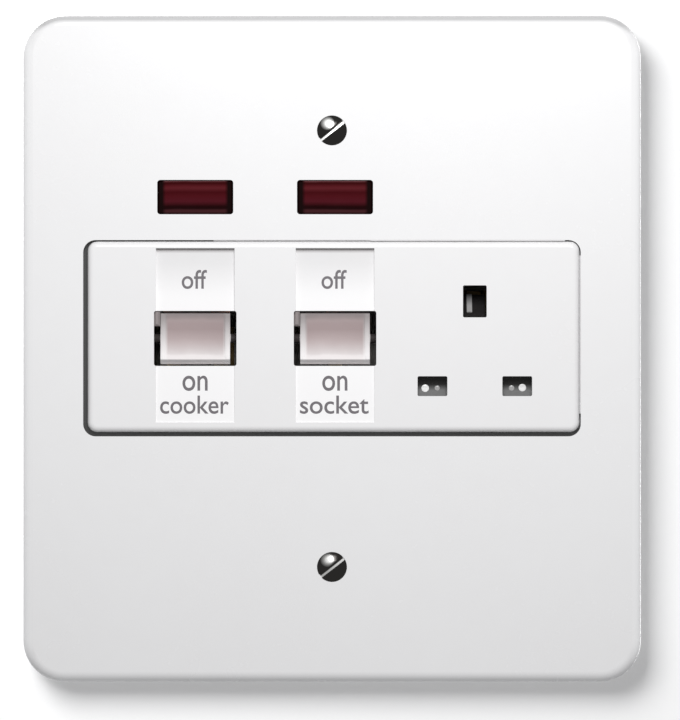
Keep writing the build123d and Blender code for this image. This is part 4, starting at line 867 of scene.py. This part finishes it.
@dataclass
class FixingScrews:
    """The two M3.5 screws with a raised slotted head and a cut thread."""

    centres: Sequence[float] = (57.15 * MM, -57.15 * MM)
    face_y: float = -9.5 * MM
    rise: float = 1.1 * MM
    rim: float = 0.12 * MM
    head_radius: float = 3.9 * MM
    shank_radius: float = 1.4 * MM
    major_radius: float = 1.75 * MM
    minor_radius: float = 1.4 * MM
    pitch: float = 0.6 * MM
    thread_start: float = -0.4 * MM
    reach: float = 20.0 * MM
    slot_width: float = 1.1 * MM
    slot_depth: float = 1.3 * MM
    slot_angle: float = 38.0
    edge: float = 0.07 * MM
    edge_angle: float = 38.0
    smooth_angle: float = 30.0
    segments: int = 72
    crown_steps: int = 12
    thread_around: int = 36
    rows_per_turn: int = 8
    run_in: float = 30.0
    run_out: float = 14.0
    flank: float = 1.25
    point_start: float = 0.97
    point_taper: float = 9.0

    def head(self) -> bpy.types.Object:
        """The head and plain shank of one screw, with its slot cut."""
        crown = self.face_y - self.rise
        ball = (self.head_radius**2 + self.rise**2) / (2 * self.rise)
        half = math.asin(self.head_radius / ball)
        bends = [half * step / self.crown_steps for step in range(1, self.crown_steps + 1)]
        profile = [(0.0, crown)]
        profile += [(ball * math.sin(bend), crown + ball * (1 - math.cos(bend))) for bend in bends]
        cone_y = self.face_y + self.head_radius - self.shank_radius
        profile += [(self.head_radius, self.face_y + self.rim), (self.shank_radius, cone_y),
                    (self.shank_radius, self.thread_start), (0.0, self.thread_start)]
        blank = mesh_piece("screw_blank", *turned(profile, self.segments))
        bpy.ops.mesh.primitive_cube_add(size=1.0)
        cutter = bpy.context.object
        cutter.scale = (3 * self.head_radius, 2 * self.slot_depth, self.slot_width)
        cutter.location = (0.0, crown, 0.0)
        cutter.rotation_euler = (0.0, -math.radians(self.slot_angle), 0.0)
        cut = blank.modifiers.new("slot", "BOOLEAN")
        cut.object = cutter
        cut.solver = "EXACT"
        bevel = blank.modifiers.new("edge", "BEVEL")
        bevel.width = self.edge
        bevel.segments = 2
        bevel.angle_limit = math.radians(self.edge_angle)
        made = finish_mesh("screw_head", applied(blank), self.smooth_angle)
        discard(blank, cutter)
        return made

    def thread(self) -> tuple[list, list]:
        """The points and faces of one screw's thread, as a helical ridge on its core."""
        around = self.thread_around
        length = self.reach - self.thread_start
        rows = int(length / self.pitch * self.rows_per_turn)
        points: list[Point] = []
        for row in range(rows + 1):
            share = row / rows
            y = self.thread_start + length * share
            cut = min(1.0, (1.0 - share) * self.run_out, share * self.run_in)
            depth = (self.major_radius - self.minor_radius) * cut
            taper = 1.0 - max(0.0, share - self.point_start) * self.point_taper
            for step in range(around):
                angle = math.tau * step / around
                phase = (y / self.pitch - step / around) % 1.0
                ridge = max(0.0, 1.0 - abs(2.0 * phase - 1.0) * self.flank)
                radius = (self.minor_radius + depth * ridge) * taper
                points.append((radius * math.cos(angle), y, radius * math.sin(angle)))
        faces = tube_faces(rows, around)
        faces.append(tuple(range(around)))
        faces.append(tuple(rows * around + step for step in reversed(range(around))))
        return points, faces

    def build(self, dresser: Dresser) -> None:
        """Makes both screws as one piece and hangs them on the plate's body."""
        head = self.head()
        thread = mesh_piece("screw_thread", *self.thread())
        joined = bmesh.new()
        for z in self.centres:
            for source in (head, thread):
                before = len(joined.verts)
                joined.from_mesh(source.data)
                joined.verts.ensure_lookup_table()
                bmesh.ops.translate(joined, verts=joined.verts[before:], vec=(0.0, 0.0, z))
        mesh = bpy.data.meshes.new("fixing_screw_pair")
        joined.to_mesh(mesh)
        joined.free()
        discard(head, thread)
        piece = finish_mesh("fixing_screw_pair", mesh, self.smooth_angle)
        dresser.place(piece, "screw", "root", "plated_steel")
        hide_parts("fixing_screws")


@dataclass
class Word:
    """One printed word, fitted to the width and height that it has on the panel."""

    name: str
    text: str
    centre_x: float
    foot_z: float
    width: float
    height: float
    stroke: float = 0.008
    thickness: float = 0.03 * MM
    sunk: float = 0.01 * MM


@dataclass
class LabelStrips:
    """The words printed in the two sunk strips."""

    front_y: float = -9.9 * MM
    top_z: float = 26.3 * MM
    bottom_z: float = -19.3 * MM
    depth_top: float = 1.0 * MM
    depth_bottom: float = 0.3 * MM
    smooth_angle: float = 30.0
    # Each line's kind, its shift from the strip's middle, its foot, width and height.
    lines: Sequence[tuple[str, float, float, float, float]] = (
        ("off", -0.25 * MM, 15.65 * MM, 6.6 * MM, 5.0 * MM),
        ("on", -0.05 * MM, -11.05 * MM, 6.6 * MM, 4.0 * MM),
        ("name", -0.2 * MM, -17.05 * MM, 18.0 * MM, 4.8 * MM))

    def words(self) -> list[Word]:
        """Every word of both strips: off, on, and what the switch is for."""
        return [Word(f"{side}_{line}_word", side if line == "name" else line, x + shift, *fit)
                for side, x in SWITCH_X.items() for line, shift, *fit in self.lines]

    def depth(self, z: float) -> float:
        """How far back the strip's floor lies at a height."""
        share = (z - self.bottom_z) / (self.top_z - self.bottom_z)
        return self.front_y + self.depth_bottom + share * (self.depth_top - self.depth_bottom)

    def print_word(self, word: Word) -> bpy.types.Object:
        """Makes one word's piece, lying on the strip's sloping floor.

        Args:
            word: what to print, and where.

        Returns:
            The word's piece.
        """
        outline = bpy.data.curves.new(word.name, "FONT")
        outline.body = word.text
        outline.extrude = 0.5
        outline.offset = word.stroke
        outline.resolution_u = 6
        holder = bpy.data.objects.new(word.name + "_outline", outline)
        bpy.context.collection.objects.link(holder)
        mesh = applied(holder)
        discard(holder)
        xs = [v.co.x for v in mesh.vertices]
        ys = [v.co.y for v in mesh.vertices]
        across = word.width / (max(xs) - min(xs))
        up = word.height / (max(ys) - min(ys))
        middle = (max(xs) + min(xs)) / 2
        for vertex in mesh.vertices:
            x = word.centre_x + (vertex.co.x - middle) * across
            z = word.foot_z + (vertex.co.y - min(ys)) * up
            proud = word.thickness * (0.5 + vertex.co.z) - word.sunk
            vertex.co = (x, self.depth(z) - proud, z)
        return finish_mesh(word.name, mesh, self.smooth_angle)

    def build(self, dresser: Dresser) -> None:
        """Prints every word on the insert panel."""
        for word in self.words():
            dresser.place(self.print_word(word), "ink", "root", "white_moulding")


@dataclass
class Fascia:
    """What faces the room: plate, insert panel, screws, grey ribs that paint light on the openings'
    left walls, pale bars that paint light in the gap round the panel, and words.
    """

    strips: LabelStrips = field(default_factory=LabelStrips)
    screws: FixingScrews = field(default_factory=FixingScrews)
    rib_x: Sequence[float] = (-10.85 * MM, -9.22 * MM)
    rib_y: Sequence[float] = (-9.0 * MM, -6.6 * MM)
    rib_z: Sequence[float] = (5.9 * MM, 9.95 * MM)
    # Each pale bar's name and its reach in X, Y and Z, painting light in the gap above and right of
    # the panel.
    beads: Sequence[tuple[str, Sequence[float], Sequence[float], Sequence[float]]] = (
        ("top_lit_gap_fill_left", (-31.0 * MM, 10.0 * MM), (-9.15 * MM, -8.2 * MM),
         (28.13 * MM, 28.42 * MM)),
        ("top_lit_gap_fill_right", (10.0 * MM, 61.0 * MM), (-9.42 * MM, -8.2 * MM),
         (28.11 * MM, 28.44 * MM)),
        ("right_lit_gap_fill", (64.82 * MM, 65.13 * MM), (-9.25 * MM, -8.2 * MM),
         (-17.0 * MM, 24.4 * MM)))

    def lit_wall_rib(self, side: str, centre_x: float) -> bpy.types.Object:
        """The grey rib beside a rocker's upper half, on the left wall of its opening, as painted
        light on that wall.
        """
        across = [centre_x + x for x in self.rib_x]
        return bar(f"{side}_lit_wall_rib", across, self.rib_y, self.rib_z)

    def build(self, dresser: Dresser) -> None:
        """Adds the ribs and beads, dresses the fascia's nodes and makes screws and words."""
        for side, centre_x in SWITCH_X.items():
            dresser.place(self.lit_wall_rib(side, centre_x), "lit_wall", "root", "white_moulding")
        for name, *reach in self.beads:
            dresser.place(bar(name, *reach), "bead", "root", "white_moulding")
        dresser.dress("plate", 0.0, "front_plate")
        dresser.dress("insert", 0.12 * MM, "insert_panel")
        dresser.dress("fibre", 0.05 * MM, "captive_washers")
        self.screws.build(dresser)
        self.strips.build(dresser)


@dataclass
class CoilSpring:
    """A coil spring, copied from its CAD node and hung on its body."""

    node: str
    body: str
    joint: str
    travel: float
    axis: Point

    def build(self, dresser: Dresser) -> None:
        """Makes the spring from its node's mesh, hides the node and hangs the spring on its body.
        """
        wire = finish_mesh(f"{self.node}_coil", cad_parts[self.node].data.copy())
        along = Vector(self.axis).normalized()
        reach = [vertex.co.dot(along) for vertex in wire.data.vertices]
        dresser.place(wire, "spring", self.body, "spring_steel")
        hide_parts(self.node)
        keep = 1.0 - self.travel / (max(reach) - min(reach))
        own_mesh(wire)


@dataclass
class SwitchTrain:
    """The rockers with their plungers, springs, arms, strips and contact tips."""

    poles: Sequence[tuple[str, str]] = (("cooker_live", "cooker_rocker"),
                                        ("cooker_neutral", "cooker_rocker"),
                                        ("socket_live", "socket_rocker"))
    plunger_travel: float = 0.5 * MM
    barrel_axis: Point = (0.0, -0.987688, 0.156434)
    strips: Sequence[str] = ("cooker_live_strip", "cooker_neutral_strip", "socket_switch_strip")
    brass: Sequence[str] = ("supply_live_busbar", "supply_neutral_strip", "contact_rivets")
    rocker_edge: float = 0.15 * MM
    edge: float = 0.06 * MM

    def build(self, dresser: Dresser) -> None:
        """Dresses every node of the switches."""
        for side, centre_x in SWITCH_X.items():
            finish = DishedMoulding(f"{side}_rocker_urea", centre_x)
            dresser.dress(finish, self.rocker_edge, f"{side}_rocker")
        for pole, rocker in self.poles:
            dresser.dress("acetal", 0.0, f"{pole}_plunger")
            CoilSpring(f"{pole}_spring", rocker, f"{pole}_plunger", self.plunger_travel,
                       self.barrel_axis).build(dresser)
            dresser.dress("copper", self.edge, f"{pole}_arm")
            dresser.dress("silver", self.edge, f"{pole}_tip")
        dresser.dress("shade_darkened_brass", self.edge, *self.strips)
        dresser.dress("brass", self.edge, *self.brass)
        dresser.dress("silver", self.edge, "fixed_tips")


@dataclass
class OutletWorks:
    """The shutter with its spring, cover and screws, and the contacts behind it."""

    travel: float = 5.8 * MM
    shutter_front_y: float = -6.1 * MM
    pip_rise: float = 0.14 * MM
    pip_sunk: float = 0.02 * MM
    pip_segments: int = 28
    pip_steps: int = 8
    # Each dome's x, z and radius; their pale colour paints the glints in the live and neutral
    # slots.
    bright_pips: Sequence[tuple[float, float, float]] = (
        (24.45 * MM, -10.35 * MM, 1.0 * MM), (49.95 * MM, -10.2 * MM, 1.0 * MM))
    faint_pips: Sequence[tuple[float, float, float]] = (
        (27.6 * MM, -10.3 * MM, 0.7 * MM), (47.1 * MM, -10.3 * MM, 0.75 * MM))
    # The pale rib's run up the ramp, a painted highlight streak in the earth slot.
    ramp_foot: Sequence[float] = (-4.9 * MM, 9.5 * MM)
    ramp_top: Sequence[float] = (-0.5 * MM, 14.2 * MM)
    rib_x: Sequence[float] = (35.4 * MM, 36.8 * MM)
    rib_rise: float = 0.25 * MM
    rib_sunk: float = 0.05 * MM
    contacts: Sequence[str] = ("socket_live_contact", "socket_neutral_contact",
                               "socket_earth_contact")
    links: Sequence[str] = ("neutral_link", "switched_live_link")

    def domes(self, name: str, places: Sequence[tuple[float, float, float]]) -> bpy.types.Object:
        """Small glossy domes on the shutter's wings, coloured pale as painted glints in the slots.

        Args:
            name: the piece's name.
            places: each dome's x, z and radius.

        Returns:
            The domes as one piece.
        """
        bends = [math.pi / 2 * step / self.pip_steps for step in range(self.pip_steps + 1)]
        joined = bmesh.new()
        for x, z, radius in places:
            profile = [(0.0, self.pip_sunk), (radius, self.pip_sunk)]
            profile += [(radius * math.cos(bend), -self.pip_rise * math.sin(bend))
                        for bend in bends]
            points, faces = turned(profile, self.pip_segments)
            corners = [joined.verts.new((px + x, py + self.shutter_front_y, pz + z))
                       for px, py, pz in points]
            for face in faces:
                joined.faces.new([corners[i] for i in face])
        mesh = bpy.data.meshes.new(name)
        joined.to_mesh(mesh)
        joined.free()
        return finish_mesh(name, mesh)

    def ramp_highlight_rib(self) -> bpy.types.Object:
        """A pale rib up the shutter's ramp, where a plug's earth pin slides, as a painted highlight
        streak in the earth slot.
        """
        left, right = self.rib_x
        corners = ((left, -self.rib_sunk), (left, self.rib_rise),
                   (right, self.rib_rise), (right, -self.rib_sunk))
        return boxed("shutter_ramp_highlight_rib", [[(x, y - rise, z + rise) for x, rise in corners]
                                          for y, z in (self.ramp_foot, self.ramp_top)])

    def build(self, dresser: Dresser) -> None:
        """Dresses the outlet's nodes and adds the shutter's domes and rib."""
        dresser.dress("shutter", 0.1 * MM, "shutter")
        CoilSpring("shutter_spring", "shutter", "shutter", self.travel,
                   (0.0, 0.0, 1.0)).build(dresser)
        dresser.dress("insert", 0.12 * MM, "shutter_cover")
        dresser.dress("plated", 0.08 * MM, "shutter_cover_screws")
        dresser.dress("shade_darkened_brass", 0.0, *self.contacts)
        dresser.dress("copper", 0.0, *self.links)
        for piece, finish in ((self.domes("shutter_pips", self.bright_pips), "pip"),
                              (self.domes("shutter_faint_pips", self.faint_pips), "faint_pip"),
                              (self.ramp_highlight_rib(), "ramp_highlight_rib")):
            dresser.place(piece, finish, "shutter", "shutter_moulding")


@dataclass
class NeonIndicator:
    """One neon indicator: lens, holder, lamp and resistor."""

    side: str

    def build(self, dresser: Dresser) -> None:
        """Dresses the indicator's nodes."""
        lens = Lens(f"{self.side}_lens_red", SWITCH_X[self.side])
        for finish, edge, kind in ((lens, 0.1 * MM, "lens"), ("base", 0.1 * MM, "holder"),
                                   ("lamp", 0.0, "lamp"), ("resistor", 0.15 * MM, "resistor")):
            dresser.dress(finish, edge, f"{self.side}_neon_{kind}")


@dataclass
class RearBase:
    """The base housing with its terminals and screws."""

    terminals: Sequence[str] = ("supply_live_terminal", "supply_neutral_terminal",
                                "cooker_live_terminal", "cooker_neutral_terminal",
                                "earth_terminal")

    def build(self, dresser: Dresser) -> None:
        """Dresses the housing, terminals and screws."""
        dresser.dress("base", 0.2 * MM, "base_housing")
        dresser.dress("brass", 0.1 * MM, *self.terminals)
        dresser.dress("plated", 0.1 * MM, "terminal_screws", "housing_screws")


@dataclass(frozen=True)
class Lamp:
    """One soft area light, aimed at the middle of the unit."""

    name: str
    place: Point
    size: float
    power: float

    def build(self) -> bpy.types.Object:
        """Makes the light and aims it."""
        data = bpy.data.lights.new(self.name, "AREA")
        data.shape = "SQUARE"
        data.size = self.size
        data.energy = self.power
        lamp = bpy.data.objects.new(self.name, data)
        lamp.location = self.place
        aim = Vector() - Vector(self.place)
        lamp.rotation_euler = aim.to_track_quat("-Z", "Y").to_euler()
        bpy.context.collection.objects.link(lamp)
        return lamp


@dataclass
class Studio:
    """The pale wall, the lamps, the world's light and the camera."""

    wall_y: float = 0.4 * MM
    wall_reach: float = 2.0
    hole: Sequence[float] = (-70.0 * MM, 70.0 * MM, -50.0 * MM, 53.0 * MM)
    wall_glow: float = 0.195
    wall_colour: float = 0.76
    wall_blue: float = 0.7623
    fill: float = 0.28
    white: Sequence[float] = (1.0, 1.0, 1.0, 1.0)
    fill_colour: Sequence[float] = (0.98, 0.985, 1.0, 1.0)
    camera_place: Point = (2.1 * MM, -1.5, -2.95 * MM)
    view_height: float = 188.5 * MM
    plate_y: float = -9.5 * MM
    sensor: float = 36.0
    wall_lamp: Lamp = Lamp("wall_lamp", (-0.41, -0.75, 0.52), 0.6, 12.6)
    key: Lamp = Lamp("key", (0.03, -0.45, 0.24), 0.22, 2.27)
    back_lamps: Sequence[Lamp] = (
        Lamp("back_left", (-0.45, 1.1, 0.5), 0.6, 6.4),
        Lamp("back_right", (0.4, 1.1, 0.0), 0.6, 4.0),
    )

    @staticmethod
    def background_ray(graph: Graph) -> Socket:
        """1 for rays that show the background, from the camera or through gloss and glass."""
        rays = [graph.node("ShaderNodeLightPath", out=name)
                for name in ("Is Camera Ray", "Is Glossy Ray", "Is Transmission Ray")]
        return rays[0].larger(rays[1]).larger(rays[2])

    def wall_material(self) -> bpy.types.Material:
        """A pale wall that glows to white where no shadow falls, and is clear from behind."""
        graph = Graph.of_material("studio_wall")
        grey = (self.wall_colour, self.wall_colour, self.wall_blue, 1.0)
        matt = graph.node("ShaderNodeBsdfDiffuse", inputs={"Color": grey})
        glow = graph.node("ShaderNodeEmission",
                          inputs={"Color": self.white, "Strength": self.wall_glow})
        glowing = graph.node("ShaderNodeAddShader", inputs={0: matt, 1: glow})
        front = graph.node("ShaderNodeMixShader",
                           inputs={0: self.background_ray(graph), 1: matt, 2: glowing})
        clear = graph.node("ShaderNodeBsdfTransparent")
        behind = graph.node("ShaderNodeNewGeometry", out="Backfacing")
        both = graph.node("ShaderNodeMixShader", inputs={0: behind, 1: front, 2: clear})
        graph.node("ShaderNodeOutputMaterial", inputs={"Surface": both})
        return graph.owner

    def wall(self) -> bpy.types.Object:
        """Hangs the wall behind the plate, open where the base housing goes through."""
        left, right, low, high = self.hole
        reach, y = self.wall_reach, self.wall_y
        points = [(-reach, y, -reach), (reach, y, -reach), (reach, y, reach), (-reach, y, reach),
                  (left, y, low), (right, y, low), (right, y, high), (left, y, high)]
        faces = [(0, 1, 5, 4), (1, 2, 6, 5), (2, 3, 7, 6), (3, 0, 4, 7)]
        mesh = bpy.data.meshes.new("wall")
        mesh.from_pydata(points, [], faces)
        piece = bpy.data.objects.new("wall", mesh)
        bpy.context.collection.objects.link(piece)
        mesh.materials.append(self.wall_material())
        return piece

    def world(self) -> None:
        """A white background over a softer even light."""
        world = bpy.data.worlds.new("studio")
        bpy.context.scene.world = world
        graph = Graph(world)
        shown = graph.node("ShaderNodeBackground", inputs={"Color": self.white, "Strength": 1.0})
        light = graph.node("ShaderNodeBackground",
                           inputs={"Color": self.fill_colour, "Strength": self.fill})
        both = graph.node("ShaderNodeMixShader",
                          inputs={0: self.background_ray(graph), 1: light, 2: shown})
        graph.node("ShaderNodeOutputWorld", inputs={"Surface": both})

    def camera(self) -> None:
        """Sets the camera straight before the plate, with a long lens."""
        data = bpy.data.cameras.new("camera")
        data.sensor_width = self.sensor
        reach = self.plate_y - self.camera_place[1]
        data.lens = self.sensor * reach / self.view_height
        camera = bpy.data.objects.new("camera", data)
        camera.location = self.camera_place
        camera.rotation_euler = (math.pi / 2, 0.0, 0.0)
        bpy.context.collection.objects.link(camera)
        bpy.context.scene.camera = camera
        bpy.context.scene.view_settings.view_transform = "Standard"

    def build(self) -> None:
        """Makes the whole studio."""
        wall = self.wall()
        self.world()
        only_wall = bpy.data.collections.new("only_wall")
        only_wall.objects.link(wall)
        self.wall_lamp.build().light_linking.receiver_collection = only_wall
        no_wall = bpy.data.collections.new("no_wall")
        no_wall.objects.link(wall)
        no_wall.collection_objects[0].light_linking.link_state = "EXCLUDE"
        self.key.build().light_linking.receiver_collection = no_wall
        for lamp in self.back_lamps:
            linking = lamp.build().light_linking
            linking.receiver_collection = no_wall
            linking.blocker_collection = no_wall
        self.camera()
        LOG.info("studio ready")


def main() -> None:
    """Builds the studio and every sub-assembly, in order."""
    logging.basicConfig(level=logging.INFO, format="%(name)s: %(message)s")
    dresser = Dresser()
    Studio().build()
    Fascia().build(dresser)
    SwitchTrain().build(dresser)
    OutletWorks().build(dresser)
    for side in SWITCH_X:
        NeonIndicator(side).build(dresser)
    RearBase().build(dresser)


if __name__ == "__main__":
    main()
